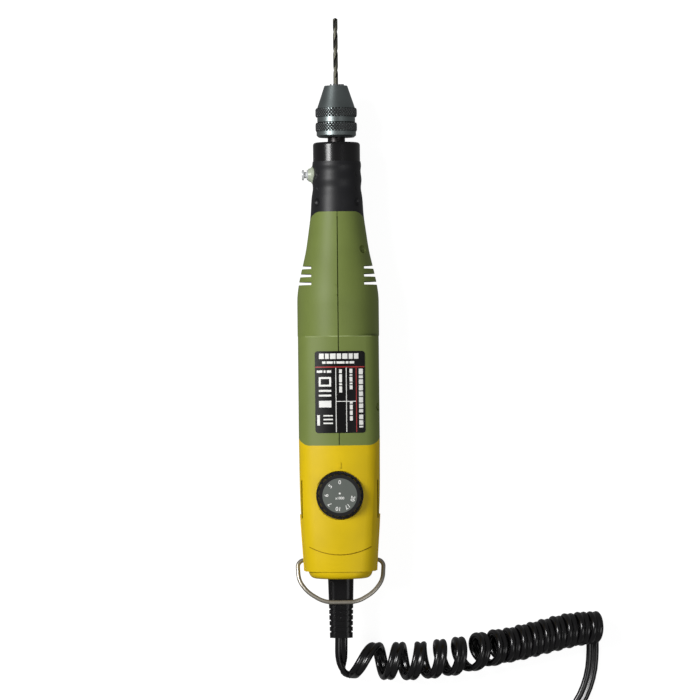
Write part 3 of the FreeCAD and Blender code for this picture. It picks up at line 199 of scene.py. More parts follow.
def drill_steel():
    """Dark flutes with brighter lands."""
    finish = Finish("drill_steel", (104, 101, 88), 0.5, Metallic=0.7)
    land = finish.from_axis().between(0.72 * MM, 0.98 * MM)
    finish.paint(finish.mix(land, srgb(34, 34, 30), srgb(88, 87, 76)))
    finish.rough(land * -0.1 + 0.6)
    finish.bump(finish.noise(6000, 2.0), 0.000004)
    return finish.material


def soft_black(name, color, roughness, grain, per_metre, **constants):
    finish = Finish(name, color, roughness, **constants)
    finish.vary(80, 0.85, 1.15, roughness - 0.06, roughness + 0.06)
    finish.bump(finish.noise(per_metre, 2.0), grain)
    return finish.material


def knurled_steel_painted_light():
    """Valleys painted dark as shade in the grooves, ridges painted bright as highlight and partly worn bare,
    told apart by the distance from the tool axis.
    """
    finish = Finish("knurled_steel_painted_light", (70, 71, 72), 0.36, Metallic=0.85)
    ridge = finish.from_axis().between((BAND_RADIUS + SHADED_VALLEY_HEIGHT) * MM, (BAND_RADIUS + KNURL_HEIGHT) * MM)
    # painted shade in the valleys, painted highlight on the ridges
    finish.paint(finish.mix(ridge, srgb(8, 8, 9), srgb(128, 130, 131)))
    finish.rough(ridge * -0.1 + 0.5)
    finish.bump(finish.noise(6000, 2.0), 0.000004)
    return finish.material


def wound_copper():
    finish = Finish("enamelled_copper", (176, 92, 48), 0.35, Metallic=1.0)
    _, along, _ = finish.axes()
    strands = (along * 16000).sine() * 0.5 + 0.5
    finish.paint(finish.mix(strands, srgb(120, 55, 25), srgb(196, 110, 60)))
    finish.bump(strands, 0.00005)
    return finish.material


def woven_strap():
    """Hook and loop strap with a fine rib across it."""
    finish = Finish("woven_strap", (26, 26, 28), 0.85)
    across, _, _ = finish.axes()
    ribs = (across * 9000).sine() * 0.5 + 0.5
    finish.paint(finish.mix(ribs, srgb(16, 16, 18), srgb(40, 40, 43)))
    finish.bump(ribs + finish.noise(4000) * 0.6, 0.00012)
    return finish.material


# Knurled bands of the chuck, in millimetres
BAND_RADIUS = 8.5
KNURL_HEIGHT = 0.34            # of the ridges
SHADED_VALLEY_HEIGHT = 0.08                  # height below which the knurl is painted dark as shade

GREEN = moulded_plastic("green_plastic", (110, 124, 60), 0.5, Specular_IOR_Level=0.35)
# painted highlight: lighter green standing in for light caught on the raised bead's edge
HIGHLIGHT_GREEN = moulded_plastic("green_plastic_painted_highlight", (158, 172, 112), 0.45)
# painted shade: dark strip standing in for the shade inside the housing's seam groove
SEAM_SHADE_GREEN = moulded_plastic("green_plastic_painted_seam_shade", (40, 47, 20), 0.7, Specular_IOR_Level=0.1)
YELLOW = moulded_plastic("yellow_plastic", (216, 184, 0), 0.48, 0.00001, Specular_IOR_Level=0.25)
# painted shadow: dark yellow line standing in for the shadow under the cap's raised panel
PANEL_SHADOW_YELLOW = moulded_plastic("yellow_plastic_painted_shadow", (138, 106, 0), 0.6, Specular_IOR_Level=0.1)
GRIP_BLACK = soft_black("soft_grip_black", (22, 22, 25), 0.45, 0.00002, 1800, Specular_IOR_Level=0.35)
GLOSS_BLACK = soft_black("gloss_black", (14, 13, 14), 0.22, 0.000004, 900)
KNOB_BLACK = soft_black("knob_black", (17, 16, 17), 0.4, 0.000006, 1200, Specular_IOR_Level=0.4)
RELIEF_BLACK = soft_black("strain_relief_black", (9, 8, 10), 0.3, 0.00001, 2500, Specular_IOR_Level=0.3)
FLEX_BLACK = soft_black("flex_black", (9, 8, 10), 0.22, 0.000006, 1500)
PLUG_BLACK = soft_black("plug_black", (25, 25, 26), 0.42, 0.00002, 2000)
DARK_STEEL = turned_steel("blackened_steel", (124, 132, 132), 0.36, 0.92)
NECK_STEEL = turned_steel("dark_spindle_steel", (58, 56, 56), 0.36, 0.9)
KNURL_PAINTED_LIGHT_STEEL = knurled_steel_painted_light()
BRIGHT_STEEL = turned_steel("ground_steel", (176, 176, 174), 0.26)
LOCK_SILVER = plain_metal("polished_nickel", (236, 238, 240), 0.3, 0.5)
BAIL_WIRE = plain_metal("bail_wire", (168, 162, 150), 0.32, 0.75)
JAW_STEEL = plain_metal("jaw_steel", (196, 198, 200), 0.28)
ZINC = plain_metal("zinc_plated", (150, 152, 156), 0.4)
BRASS = plain_metal("brass", (190, 152, 82), 0.3)
ALUMINIUM = turned_steel("turned_aluminium", (186, 188, 192), 0.34)
PALE_PLASTIC = moulded_plastic("pale_plastic", (172, 180, 160), 0.3, 0.000005)
FERRITE = moulded_plastic("sintered_ferrite", (58, 57, 58), 0.7, 0.00003)
BLACK_PLASTIC = moulded_plastic("inner_black_plastic", (32, 32, 33), 0.5)
BOARD_GREEN = moulded_plastic("circuit_board_green", (28, 92, 52), 0.35, 0.00001)
DIAL_GREY = moulded_plastic("dial_grey", (94, 99, 94), 0.5, 0.00002, Specular_IOR_Level=0.3)
WIRE_RED = moulded_plastic("lead_insulation", (132, 26, 20), 0.4, 0.000005)
LABEL_BLACK = moulded_plastic("label_black", (9, 8, 9), 0.35, 0.000002, Specular_IOR_Level=0.2)
PRINT_WHITE = moulded_plastic("print_white", (232, 232, 228), 0.4, 0.000002)
PRINT_RED = moulded_plastic("print_red", (172, 38, 36), 0.4, 0.000002)

NODE_FINISH = {
    GREEN: ("housing_left", "housing_right"),
    YELLOW: ("rear_cap",),
    GRIP_BLACK: ("nose_grip", "coupling_spider"),
    GLOSS_BLACK: ("nose_collar",),
    KNOB_BLACK: ("speed_knob",),
    RELIEF_BLACK: ("strain_relief",),
    PLUG_BLACK: ("plug_body",),
    DARK_STEEL: ("chuck_sleeve", "chuck_hub"),
    NECK_STEEL: ("spindle",),
    BRIGHT_STEEL: ("spindle_clip", "front_bearing_outer_race", "front_bearing_inner_race",
                   "rear_bearing_outer_race", "rear_bearing_inner_race", "armature_shaft", "armature_core"),
    LOCK_SILVER: ("lock_button",),
    BAIL_WIRE: ("wire_bail",),
    JAW_STEEL: ("chuck_jaw_1", "chuck_jaw_2", "chuck_jaw_3", "front_bearing_balls", "rear_bearing_balls"),
    ZINC: ("housing_screws", "motor_can", "lock_spring", "brush_springs", "chuck_nut"),
    BRASS: ("motor_bushes", "motor_terminals", "commutator", "plug_pins"),
    ALUMINIUM: ("coupling_motor_hub", "coupling_spindle_hub", "potentiometer_shaft", "smoothing_capacitor"),
    PALE_PLASTIC: ("lock_bush",),
    FERRITE: ("motor_magnets", "motor_brushes"),
    BLACK_PLASTIC: ("bearing_seal", "motor_end_cap", "cooling_fan", "potentiometer", "power_transistor",
                    "controller_chip"),
    BOARD_GREEN: ("circuit_board",),
    DIAL_GREY: ("dial_plate",),
    WIRE_RED: ("motor_leads", "supply_leads"),
    LABEL_BLACK: ("rating_label",),
    drill_steel(): ("drill_bit",),
    wound_copper(): ("armature_windings",),
}


def wear(piece, material):
    piece.data.materials.clear()
    piece.data.materials.append(material)


for material, names in NODE_FINISH.items():
    for name in names:
        wear(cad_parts[name], material)


# ---------------------------------------------------------------- modelling

def drop_selection():
    for each in bpy.context.selected_objects:
        each.select_set(False)


def settle(piece):
    """Puts the piece's place into its mesh, its object at the origin."""
    drop_selection()
    piece.select_set(True)
    bpy.context.view_layer.objects.active = piece
    bpy.ops.object.transform_apply(location=True, rotation=True, scale=True)


def apply_modifier(piece, kind, **settings):
    bpy.context.view_layer.objects.active = piece
    modifier = piece.modifiers.new(kind.lower(), kind)
    for setting, wanted in settings.items():
        setattr(modifier, setting, wanted)
    bpy.ops.object.modifier_apply(modifier=modifier.name)


def mesh_piece(name, points, faces, material):
    mesh = bpy.data.meshes.new(name)
    mesh.from_pydata([tuple(point) for point in points], [], faces)
    mesh.update()
    piece = bpy.data.objects.new(name, mesh)
    bpy.context.scene.collection.objects.link(piece)
    wear(piece, material)
    return piece


def join(name, pieces):
    drop_selection()
    for piece in pieces:
        piece.select_set(True)
    bpy.context.view_layer.objects.active = pieces[0]
    bpy.ops.object.join()
    joined = pieces[0]
    joined.name = name
    joined.data.name = name
    return joined


def recalculate(piece):
    drop_selection()
    piece.select_set(True)
    bpy.context.view_layer.objects.active = piece
    bpy.ops.object.mode_set(mode="EDIT")
    bpy.ops.mesh.select_all(action="SELECT")
    bpy.ops.mesh.normals_make_consistent(inside=False)
    bpy.ops.object.mode_set(mode="OBJECT")


def smooth(piece, degrees=35):
    drop_selection()
    piece.select_set(True)
    bpy.context.view_layer.objects.active = piece
    bpy.ops.object.shade_smooth_by_angle(angle=math.radians(degrees))


# ---------------------------------------------------------------- camera, floor and light

FRAME_WIDTH = 0.2979           # what the view spans at the height of the tool axis
CAMERA_HEIGHT = 1.7
CAMERA_X = 4.9                 # in millimetres, as CAMERA_T
CAMERA_T = 96.8
SENSOR_WIDTH = 36.0
LEAN = math.radians(-0.58)     # the tool leans a little to the left


def make_camera():
    over = place(CAMERA_X, CAMERA_T, CAMERA_HEIGHT / MM)
    bpy.ops.object.camera_add(location=over, rotation=(0, 0, LEAN))
    camera = bpy.context.object
    camera.data.sensor_width = SENSOR_WIDTH
    camera.data.lens = SENSOR_WIDTH * CAMERA_HEIGHT / FRAME_WIDTH
    camera.data.clip_start = 0.05
    camera.data.clip_end = 10.0
    bpy.context.scene.camera = camera


def make_floor():
    bpy.ops.mesh.primitive_plane_add(size=6, location=(0, 0, 0))
    floor = bpy.context.object
    floor.name = "floor"
    paper = Finish("white_paper", (120, 120, 120), 0.9, Specular_IOR_Level=0.0,
                   Emission_Color=(1, 1, 1, 1), Emission_Strength=0.93)
    wear(floor, paper.material)
    floor.visible_diffuse = False
    floor.visible_glossy = False


def soft_light(name, location, size, power):
    bpy.ops.object.light_add(type="AREA", location=location)
    light = bpy.context.object
    light.name = name
    light.data.size = size
    light.data.energy = power
    light.rotation_mode = "QUATERNION"
    light.rotation_quaternion = (-Vector(location)).to_track_quat("-Z", "Y")


def make_light():
    world = bpy.data.worlds.new("studio")
    bpy.context.scene.world = world
    world.use_nodes = True
    sky = world.node_tree.nodes["Background"]
    sky.inputs["Color"].default_value = (1, 1, 1, 1)
    sky.inputs["Strength"].default_value = 0.2
    soft_light("key", location=(-0.9, 0.35, 1.1), size=0.5, power=20)
    soft_light("fill", location=(0.7, -0.5, 1.2), size=0.8, power=4)
    bpy.context.scene.view_settings.view_transform = "Standard"


make_camera()
make_floor()
make_light()


# ---------------------------------------------------------------- flex

FLEX_LOBE = 1.36               # radius of one core's covering
FLEX_SPACING = 1.34            # from the middle of the flex to the middle of a core
FLOOR = -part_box("rear_cap")[0][2] / MM - AXIS_Z / MM
LOBE_ANGLES = (-152, -125, -85, -60, -35, -12, 12, 35, 60, 85, 125, 152)
# Route before the coil: place, and the direction of the flex's flat side
LEAD = (
    ((0, -25.5, 0), (0, 0, 1)),
    ((-0.1, -29.5, -0.4), (0, 0.1, 1)),
    ((-0.1, -34.0, -2.0), (0.3, 0.3, 0.9)),
    ((0.3, -38.6, -4.6), (0.5, 0.6, 0.5)),
    ((1.6, -41.6, -7.2), (0.1, 0.95, 0.1)),
    ((4.6, -42.6, -8.6), (0.0, 0.98, -0.1)),
)
# Turns of the coil: number, across, forwards, radius of the flex's middle, how far the front of
# the turn is ahead of its back, how far its top leans over
TURNS = (
    (0.5, 3.6, -35.6, 6.5, 0.3, 0.0),
    (1, 14.5, -36.1, 6.7, 0.2, 0.0),
    (2, 24.4, -36.4, 7.1, 0.2, 0.4),
    (3, 33.7, -36.2, 7.0, 0.1, 1.3),
    (4, 42.3, -35.3, 7.0, -0.2, 2.0),
    (5, 50.5, -34.2, 6.8, -0.4, 2.5),
    (6, 59.6, -32.1, 6.5, -0.4, 4.4),
    (7, 66.8, -30.6, 6.2, -0.6, 3.6),
    (8, 72.8, -29.8, 6.1, -0.7, 2.8),
    (9, 78.0, -28.6, 6.1, -0.8, 2.5),
    (10, 83.0, -27.4, 6.0, -0.8, 2.5),
    (11, 87.8, -26.2, 6.0, -0.8, 2.5),
    (12, 92.6, -25.0, 6.05, -0.7, 2.5),
    (13, 97.6, -23.9, 6.0, -0.7, 2.5),
    (14, 103.0, -23.2, 5.85, -0.6, 2.4),
    (15.3, 109.8, -22.9, 5.8, -0.5, 2.2),
)
FIRST_TURN = 0.6
LAST_TURN = 15.25
POINTS_A_TURN = 14
COIL_SWELL = 1.012             # the spline runs inside its control points
COIL_LIFT = 0.6                # lowest turn above the floor
TAIL = ((107.9, -32.0), (106.9, -44.0), (102.0, -56.0), (93.5, -64.5), (84.0, -68.6))
TAIL_LIFT = 0.35
# Hank: runs across between two places, on two widths and three layers
HANK_FROM = 12.6               # across, middle of the left end's bends
HANK_TO = 71.4
HANK_T = -80.0
HANK_OUTER = 11.2
HANK_INNER = 6.2
HANK_LAYER = 2.78
HANK_LIFT = 0.12
HANK_TURNS = 4.3
POINTS_A_ROUND = 24
RUN_SHARE = 0.35               # of a round, one straight run
HALF_ROUND = 0.5
BEND_SHARE = HALF_ROUND - RUN_SHARE
GOES_INSIDE = 1.0              # round where the flex moves to the inner width
GOES_OUTSIDE = 3.0
CLIMBS = (2.0, 4.0)            # rounds where it goes up a layer
STEP_LENGTH = 0.14             # of a round, one such move
TO_PLUG = ((13.0, -70.0, -9.5), (7.0, -75.5, -9.2), (3.0, -79.4, -9.0), (-1.5, -80.0, -9.0))
# Where the tie draws the hank in and lifts it
TIE_MIDDLE = 42.0
TIE_REACH = 12.0
TIE_PINCH = 0.075
TIE_RISE = 0.75
UP = Vector((0, 0, 1))


def between(table, at):
    """Each column of the table at a turn number, evenly between its rows."""
    for before, after in zip(table, table[1:]):
        if at <= after[0]:
            share = (at - before[0]) / (after[0] - before[0])
            return [low + (high - low) * share for low, high in zip(before, after)]
    return table[-1]


def coil_points():
    points = []
    steps = round((LAST_TURN - FIRST_TURN) * POINTS_A_TURN)
    for step in range(steps + 1):
        turn = FIRST_TURN + (LAST_TURN - FIRST_TURN) * step / steps
        _, x, t, radius, ahead, lean = between(TURNS, turn)
        angle = 2 * math.pi * turn
        rest = FLOOR + radius * COIL_SWELL + FLEX_LOBE + COIL_LIFT
        out = Vector((-lean / radius * math.sin(angle), math.cos(angle), -math.sin(angle)))
        points.append((Vector((x + ahead * math.cos(angle), t, rest)) + out * radius * COIL_SWELL, out))
    return points


def step_up(at, middle):
    """0 well before the middle, 1 well after it, smooth between."""
    share = min(1.0, max(0.0, (at - middle) / STEP_LENGTH + 0.5))
    return share * share * (3 - 2 * share)


def hank_points():
    """Runs to and fro with round ends, three layers high, drawn in a little where the tie is."""
    points = []
    straight = HANK_TO - HANK_FROM
    for step in range(round(HANK_TURNS * POINTS_A_ROUND) + 1):
        turn = step / POINTS_A_ROUND
        inside = step_up(turn, GOES_INSIDE) - step_up(turn, GOES_OUTSIDE)
        radius = HANK_OUTER - (HANK_OUTER - HANK_INNER) * inside
        layer = sum(step_up(turn, climb) for climb in CLIMBS)
        part = turn % 1.0
        if part < RUN_SHARE:
            x, t = HANK_TO - straight * part / RUN_SHARE, radius
        elif part < HALF_ROUND:
            angle = math.pi * (part - RUN_SHARE) / BEND_SHARE
            x, t = HANK_FROM - radius * math.sin(angle), radius * math.cos(angle)
        elif part < HALF_ROUND + RUN_SHARE:
            x, t = HANK_FROM + straight * (part - HALF_ROUND) / RUN_SHARE, -radius
        else:
            angle = math.pi * (part - HALF_ROUND - RUN_SHARE) / BEND_SHARE
            x, t = HANK_TO + radius * math.sin(angle), -radius * math.cos(angle)
        near = math.exp(-((x - TIE_MIDDLE) / TIE_REACH) ** 2)
        height = FLOOR + FLEX_LOBE + HANK_LIFT + TIE_RISE * near + layer * HANK_LAYER
        points.append((Vector((x, HANK_T + t * (1 - TIE_PINCH * near), height)), UP))
    return points


def flex_route():
    """Control points of the flex in millimetres, with the direction of its flat side at each."""
    route = [(Vector(point), Vector(flat)) for point, flat in LEAD]
    route += coil_points()
    route += [(Vector((x, t, FLOOR + FLEX_LOBE + TAIL_LIFT)), UP) for x, t in TAIL]
    route += hank_points()
    route += [(Vector(spot), UP) for spot in TO_PLUG]
    for n in range(1, len(route)):
        spot, flat = route[n]
        if flat.dot(route[n - 1][1]) < 0:
            route[n] = (spot, -flat)
    return route


def flex_line(route):
    """Points of the smooth line that the route's spline gives."""
    curve = bpy.data.curves.new("flex_line", "CURVE")
    curve.dimensions = "3D"
    spline = curve.splines.new("NURBS")
    spline.points.add(len(route) - 1)
    for point, (spot, _) in zip(spline.points, route):
        point.co = (*place(*spot), 1.0)
    spline.order_u = 3
    spline.use_endpoint_u = True
    spline.resolution_u = 3
    carrier = bpy.data.objects.new("flex_line", curve)
    mesh = bpy.data.meshes.new_from_object(carrier)
    line = [vertex.co.copy() for vertex in mesh.vertices]
    bpy.data.objects.remove(carrier)
    bpy.data.meshes.remove(mesh)
    return line


def flex_section():
    """Outline of the twin flex, two round coverings joined by a web."""
    outline = []
    for side in (1, -1):
        for degrees in LOBE_ANGLES:
            angle = math.radians(degrees)
            across = FLEX_SPACING + FLEX_LOBE * math.cos(angle)
            outline.append((side * across, side * FLEX_LOBE * math.sin(angle)))
    return outline


def flex_skin(line, route, outline):
    """The outline carried along the line, its flat side turned as the route says."""
    last = len(route) - 1
    points = []
    width = Vector((1, 0, 0))
    for n, spot in enumerate(line):
        ahead = (line[min(n + 1, len(line) - 1)] - line[max(n - 1, 0)]).normalized()
        at = min(last - 0.001, 0.5 + (last - 1) * n / (len(line) - 1))
        low = int(at)
        flat = route[low][1].lerp(route[low + 1][1], at - low)
        flat = (flat - ahead * flat.dot(ahead)).normalized()
        side = ahead.cross(flat)
        if side.dot(width) < 0:
            side = -side
        width = side
        up = side.cross(ahead)
        points += [spot + side * (across * MM) + up * (out * MM) for across, out in outline]
    return points


def make_flex():
    route = flex_route()
    line = flex_line(route)
    outline = flex_section()
    count = len(outline)
    points = flex_skin(line, route, outline)
    faces = []
    for n in range(len(line) - 1):
        for corner in range(count):
            after = (corner + 1) % count
            low = n * count
            high = low + count
            faces.append((low + corner, low + after, high + after, high + corner))
    faces.append(tuple(range(count)))
    faces.append(tuple((len(line) - 1) * count + corner for corner in reversed(range(count))))
    flex = mesh_piece("supply_flex", points, faces, FLEX_BLACK)
    recalculate(flex)
    smooth(flex, 60)
    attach(flex, "tool_body")
    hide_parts("cord_lead", "cord_coil", "cord_tail", "cord_hank")


# ---------------------------------------------------------------- chuck

KNURL_RIDGES = 40
KNURL_ROOT = 0.06              # height of a ridge at its ends
KNURL_SINK = -0.05             # foot of a ridge, inside the band
KNURL_SLANT = 0.9
KNURL_STEPS = 5
RIDGE_HALF_WIDTH = 0.36        # share of the pitch
BAND_LENGTH = 3.7
HUB_BAND_START = 2.5           # ahead of the back of the piece
SLEEVE_BAND_START = 2.15


def wrap_on_axis(piece, start, radius):
    """Bends a flat pattern, made across x and along y and out in z, round the tool axis."""
    for vertex in piece.data.vertices:
        across, along, out = vertex.co / MM
        angle = across / radius
        reach = radius + out
        vertex.co = (reach * math.sin(angle) * MM, start + along * MM, AXIS_Z + reach * math.cos(angle) * MM)


def knurled_band(name, body, start):
    """Two sets of crossing ridges round a band of the chuck."""
    pitch = 2 * math.pi * BAND_RADIUS / KNURL_RIDGES
    half = pitch * RIDGE_HALF_WIDTH
    points = []
    faces = []
    for slant in (KNURL_SLANT, -KNURL_SLANT):
        for ridge in range(KNURL_RIDGES):
            first = len(points)
            for step in range(KNURL_STEPS + 1):
                along = BAND_LENGTH * step / KNURL_STEPS
                middle = ridge * pitch + slant * (along - BAND_LENGTH / 2)
                top = KNURL_ROOT if step in (0, KNURL_STEPS) else KNURL_HEIGHT
                points += [(middle - half, along, KNURL_SINK), (middle, along, top),
                           (middle + half, along, KNURL_SINK)]
            for step in range(KNURL_STEPS):
                low = first + 3 * step
                faces += [(low, low + 1, low + 4, low + 3), (low + 1, low + 2, low + 5, low + 4),
                          (low + 2, low, low + 3, low + 5)]
            faces.append((first + 2, first + 1, first))
            last = first + 3 * KNURL_STEPS
            faces.append((last, last + 1, last + 2))
    band = mesh_piece(name, [Vector(point) * MM for point in points], faces, KNURL_PAINTED_LIGHT_STEEL)
    wrap_on_axis(band, start, BAND_RADIUS)
    recalculate(band)
    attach(band, body)


# ---------------------------------------------------------------- label

STRIP_PIECE = 0.8              # longest straight piece of a strip across the curved label
PRINT_LIFT = 0.035
PRINT_THICKNESS = 0.03
ABOVE_LABEL = 20               # height that flat shapes are dropped from
ABOVE_CASING = 30
RIBBON_LIFT = 0.02


def printed_strips(name, strips, material, surface):
    """Thin strips laid on the label: (x from, x to, t from, t to) in millimetres."""
    pieces = []
    for x0, x1, t0, t1 in strips:
        lengths = max(1, round((x1 - x0) / STRIP_PIECE))
        bpy.ops.mesh.primitive_grid_add(x_subdivisions=lengths, y_subdivisions=1, size=1)
        strip = bpy.context.object
        strip.scale = ((x1 - x0) * MM, (t1 - t0) * MM, 1)
        strip.location = place((x0 + x1) / 2, (t0 + t1) / 2, ABOVE_LABEL)
        settle(strip)
        pieces.append(strip)
    joined = join(name, pieces)
    apply_modifier(joined, "SHRINKWRAP", target=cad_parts[surface], wrap_method="PROJECT",
                   use_project_z=True, use_negative_direction=True, use_positive_direction=False,
                   offset=PRINT_LIFT * MM)
    apply_modifier(joined, "SOLIDIFY", thickness=PRINT_THICKNESS * MM, offset=-1)
    wear(joined, material)
    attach(joined, "tool_body")


def laid_ribbon(name, route, half_width, thickness, material, surface):
    """Narrow ribbon along (across, forwards) points, laid on a surface from above."""
    points = []
    for n, (x, t) in enumerate(route):
        before, after = route[max(0, n - 1)], route[min(len(route) - 1, n + 1)]
        ahead = Vector((after[0] - before[0], after[1] - before[1])).normalized() * half_width
        points.append(place(x - ahead.y, t + ahead.x, ABOVE_CASING))
        points.append(place(x + ahead.y, t - ahead.x, ABOVE_CASING))
    faces = [(2 * n, 2 * n + 1, 2 * n + 3, 2 * n + 2) for n in range(len(route) - 1)]
    ribbon = mesh_piece(name, points, faces, material)
    apply_modifier(ribbon, "SHRINKWRAP", target=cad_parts[surface], wrap_method="PROJECT",
                   use_project_z=True, use_negative_direction=True, use_positive_direction=False,
                   offset=RIBBON_LIFT * MM)
    recalculate(ribbon)
    apply_modifier(ribbon, "SOLIDIFY", thickness=thickness * MM, offset=0)
    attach(ribbon, "tool_body")


SEAM_START = 57.0
SEAM_STEP = 1.22
SEAM_POINTS = 80
SEAM_APART = 0.1               # each half's line, from the middle
BEAD_T = 102.7
BEAD_START = 0.3
BEAD_STEP = 0.685
BEAD_POINTS = 21
BEAD_HALF_WIDTH = 0.16
BOW_HALF_WIDTH = 13.1
BOW_T = 13.75
BOW_DEPTH = 3.3
BOW_STEPS = 20                 # each side of the middle


def make_painted_seam_lines():
    """Painted shade line in the housing's groove, raised bead painted lighter as a highlight across the
    housing, painted shadow line under the cap's raised panel.
    """
    along = [SEAM_START + SEAM_STEP * n for n in range(SEAM_POINTS)]
    for side, name in ((-1, "left"), (1, "right")):
        housing = f"housing_{name}"
        seam = [(side * SEAM_APART, t) for t in along]
        # painted shade in the groove between the housing halves
        laid_ribbon(f"seam_{name}", seam, 0.09, 0.02, SEAM_SHADE_GREEN, housing)
        bead = [(side * (BEAD_START + BEAD_STEP * n), BEAD_T) for n in range(BEAD_POINTS)]
        # raised bead, its lighter colour a painted highlight
        laid_ribbon(f"bead_{name}", bead, BEAD_HALF_WIDTH, 0.16, HIGHLIGHT_GREEN, housing)
    shares = [n / BOW_STEPS for n in range(-BOW_STEPS, BOW_STEPS + 1)]
    bow = [(BOW_HALF_WIDTH * share, BOW_T - BOW_DEPTH * (1 - share ** 2)) for share in shares]
    # painted shadow line along the step of the cap's raised panel
    laid_ribbon("panel_shadow_line", bow, 0.16, 0.04, PANEL_SHADOW_YELLOW, "rear_cap")


LABEL_X = (-10.0, 11.1)
LABEL_T = (61.9, 96.4)


HEADER_DEPTH = 6.7
COLUMN_LINES = (8.8, 13.2)     # across from the label's left edge
RED_LINE = 17.4
ROW_LINE = 13.3                # up from the label's low edge
LINE_HALF_WIDTH = 0.15
BLOCK_GAP = 0.5
DASH_GAP = 0.45
EDGE_GAP = 0.6                 # kept free above the label's low edge
# Left column, from the label's left edge and down from the header: a square, bars and blocks
LEFT_BLOCKS = (
    (1.6, 6.8, -8.2, -7.4), (1.6, 6.8, -5.0, -4.2), (1.6, 2.4, -7.4, -5.0), (6.0, 6.8, -7.4, -5.0),
    (1.6, 6.8, -10.4, -9.6), (1.6, 6.8, -12.4, -11.6), (1.6, 6.8, -17.0, -14.2),
    (0.8, 1.9, -24.6, -20.2), (3.4, 7.4, -20.8, -20.2), (3.4, 7.4, -22.4, -21.8),
    (3.4, 7.4, -24.0, -23.4),
)
# Narrow columns: from and to across, start below the header, lengths of the dashes
DASH_COLUMNS = (
    (10.2, 11.4, 1.0, (1.6, 3.4, 0.8, 2.6)),
    (14.6, 15.8, 0.8, (1.8, 0.7, 2.0, 0.7, 1.7)),
    (14.6, 15.8, 14.6, (0.9, 2.0, 1.9, 1.9)),
    (18.5, 20.2, 0.8, (2.4, 1.2, 2.0, 2.2, 1.9, 2.3, 1.9, 1.4)),
    (18.5, 20.2, 20.2, (1.9, 1.9, 0.7, 1.6)),
)


def block_row(start, widths, gap, low, high):
    """Strips of these widths side by side."""
    strips = []
    at = start
    for width in widths:
        strips.append((at, at + width, low, high))
        at += width + gap
    return strips


def make_label_print():
    left, right = LABEL_X
    low, high = LABEL_T
    header = high - HEADER_DEPTH
    red_column = left + RED_LINE
    row = low + ROW_LINE
    foot, head = low + 0.4, header - 0.3
    white = [(left + line - LINE_HALF_WIDTH, left + line + LINE_HALF_WIDTH, foot, head)
             for line in COLUMN_LINES]
    white.append((left + COLUMN_LINES[0], red_column - 0.2, row - LINE_HALF_WIDTH, row + LINE_HALF_WIDTH))
    # header: a row of plain blocks and a thinner one below it
    white += block_row(left + 1.8, (2.0, 1.6, 2.4, 1.8, 2.2, 1.7, 1.9), BLOCK_GAP, high - 3.3, high - 1.0)
    white += block_row(left + 3.1, (1.4, 2.6, 0.7, 3.4, 1.2, 2.0), DASH_GAP, high - 5.3, high - 4.3)
    white += block_row(left + 0.8, (2.4, 0.8, 1.9), BLOCK_GAP, header - 2.4, header - 1.4)
    for x0, x1, t0, t1 in LEFT_BLOCKS:
        white.append((left + x0, left + x1, header + t0, header + t1))
    for x0, x1, start, lengths in DASH_COLUMNS:
        at = header - start
        for length in lengths:
            if at - length < low + EDGE_GAP:
                break
            white.append((left + x0, left + x1, at - length, at))
            at -= length + DASH_GAP
    printed_strips("label_print_white", white, PRINT_WHITE, "rating_label")
    red = [(left + 0.2, right - 0.2, header - 0.2, header + 0.2),
           (red_column - LINE_HALF_WIDTH, red_column + LINE_HALF_WIDTH, foot, head)]
    printed_strips("label_print_red", red, PRINT_RED, "rating_label")


# ---------------------------------------------------------------- dial

DIAL_FIGURES = (("0", 0.0), ("5", 45.0), ("6", 88.6), ("7", 130.5), ("10", 173.0), ("17", 215.0), ("20", 256.5))
FIGURE_CENTRE = 5.55
FIGURE_SIZE = 2.35
FIGURE_LIFT = 0.02
MULTIPLIER_SIZE = 1.5
MULTIPLIER_BACK = 1.1          # behind the knob's middle
DOT_RADIUS = 0.42
DOT_AHEAD = 0.9


def figure(words, size, location, turn):
    bpy.ops.object.text_add(location=location, rotation=(0, 0, math.radians(turn)))
    text = bpy.context.object
    text.data.body = words
    text.data.size = size * MM
    text.data.align_x = "CENTER"
    text.data.align_y = "CENTER"
    text.data.extrude = 0.02 * MM
    text.data.offset = 0.03 * MM
    bpy.ops.object.convert(target="MESH")
    settle(text)
    return text


def make_dial_figures():
    pieces = []
    height = DIAL_TOP + FIGURE_LIFT * MM
    out = FIGURE_CENTRE * MM
    for words, degrees in DIAL_FIGURES:
        angle = math.radians(degrees)
        spot = Vector((KNOB[0] - out * math.sin(angle), KNOB[1] + out * math.cos(angle), height))
        pieces.append(figure(words, FIGURE_SIZE, spot, degrees))
    spot = Vector((KNOB[0], KNOB[1] - MULTIPLIER_BACK * MM, height))
    pieces.append(figure("x1000", MULTIPLIER_SIZE, spot, 0))
    bpy.ops.mesh.primitive_uv_sphere_add(segments=16, ring_count=8, radius=DOT_RADIUS * MM,
                                         location=(KNOB[0], KNOB[1] + DOT_AHEAD * MM, DIAL_TOP))
    dot = bpy.context.object
    dot.scale[2] = 0.3
    settle(dot)
    pieces.append(dot)
    figures = join("dial_figures", pieces)
    wear(figures, PRINT_WHITE)
    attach(figures, "speed_knob")


# ---------------------------------------------------------------- strain relief

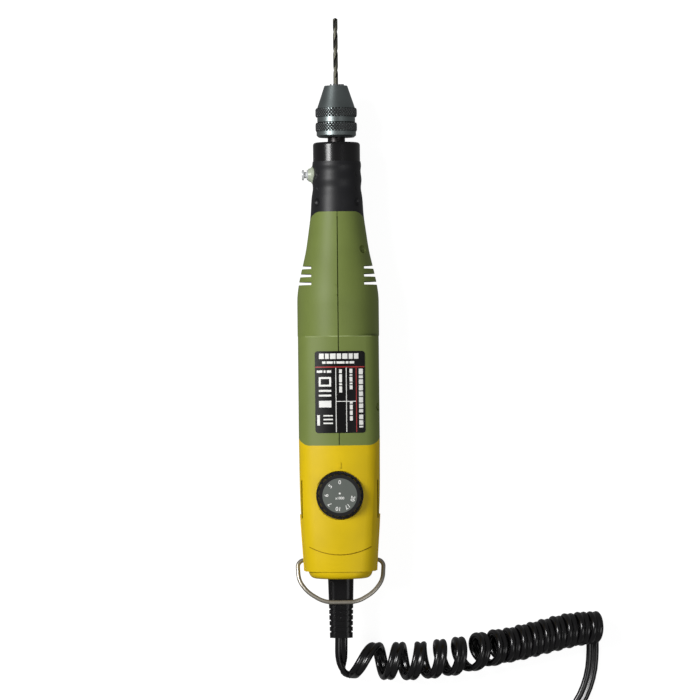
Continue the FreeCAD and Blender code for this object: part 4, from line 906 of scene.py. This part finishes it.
NUB_ROWS = (-12.0, -14.5, -16.9)
NUB_COLUMNS = (-2.4, 0.0, 2.4)
NUB_RADIUS = 0.4
RELIEF_HALF_DEPTH = 4.22       # at the cap
RELIEF_TAPER = 0.6 / 25.5


def make_relief_nubs():
    """Small raised dots on the ribs of the strain relief, front and back."""
    pieces = []
    for side in (1, -1):
        for t in NUB_ROWS:
            for x in NUB_COLUMNS:
                height = side * (RELIEF_HALF_DEPTH + RELIEF_TAPER * t)
                bpy.ops.mesh.primitive_uv_sphere_add(segments=12, ring_count=8, radius=NUB_RADIUS * MM,
                                                     location=place(x, t, height))
                nub = bpy.context.object
                nub.scale[2] = 0.7
                settle(nub)
                pieces.append(nub)
    nubs = join("relief_nubs", pieces)
    wear(nubs, RELIEF_BLACK)
    smooth(nubs, 60)
    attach(nubs, "tool_body")


# ---------------------------------------------------------------- plug and tie

PLUG_RIBS = 5
PLUG_RIB_START = 5
PLUG_RIB_PITCH = 2.6
PLUG_RIB_SIZE = (1.2, 12, 0.8)


def make_plug_grip():
    """Raised finger ribs on both faces of the plug."""
    low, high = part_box("plug_body")
    pieces = []
    for height in (high[2], low[2]):
        for n in range(PLUG_RIBS):
            x = low[0] + (PLUG_RIB_START + PLUG_RIB_PITCH * n) * MM
            bpy.ops.mesh.primitive_cube_add(size=1, location=(x, (low[1] + high[1]) / 2, height))
            rib = bpy.context.object
            rib.scale = [side_length * MM for side_length in PLUG_RIB_SIZE]
            settle(rib)
            apply_modifier(rib, "BEVEL", width=0.35 * MM, segments=3)
            pieces.append(rib)
    ribs = join("plug_grip_ribs", pieces)
    wear(ribs, PLUG_BLACK)
    smooth(ribs, 50)
    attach(ribs, "tool_body")


make_flex()
wear(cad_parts["hank_tie"], woven_strap())
knurled_band("hub_knurl", "spindle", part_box("chuck_hub")[0][1] + HUB_BAND_START * MM)
knurled_band("sleeve_knurl", "chuck_sleeve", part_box("chuck_sleeve")[0][1] + SLEEVE_BAND_START * MM)
make_label_print()
make_painted_seam_lines()
make_dial_figures()
make_relief_nubs()
make_plug_grip()
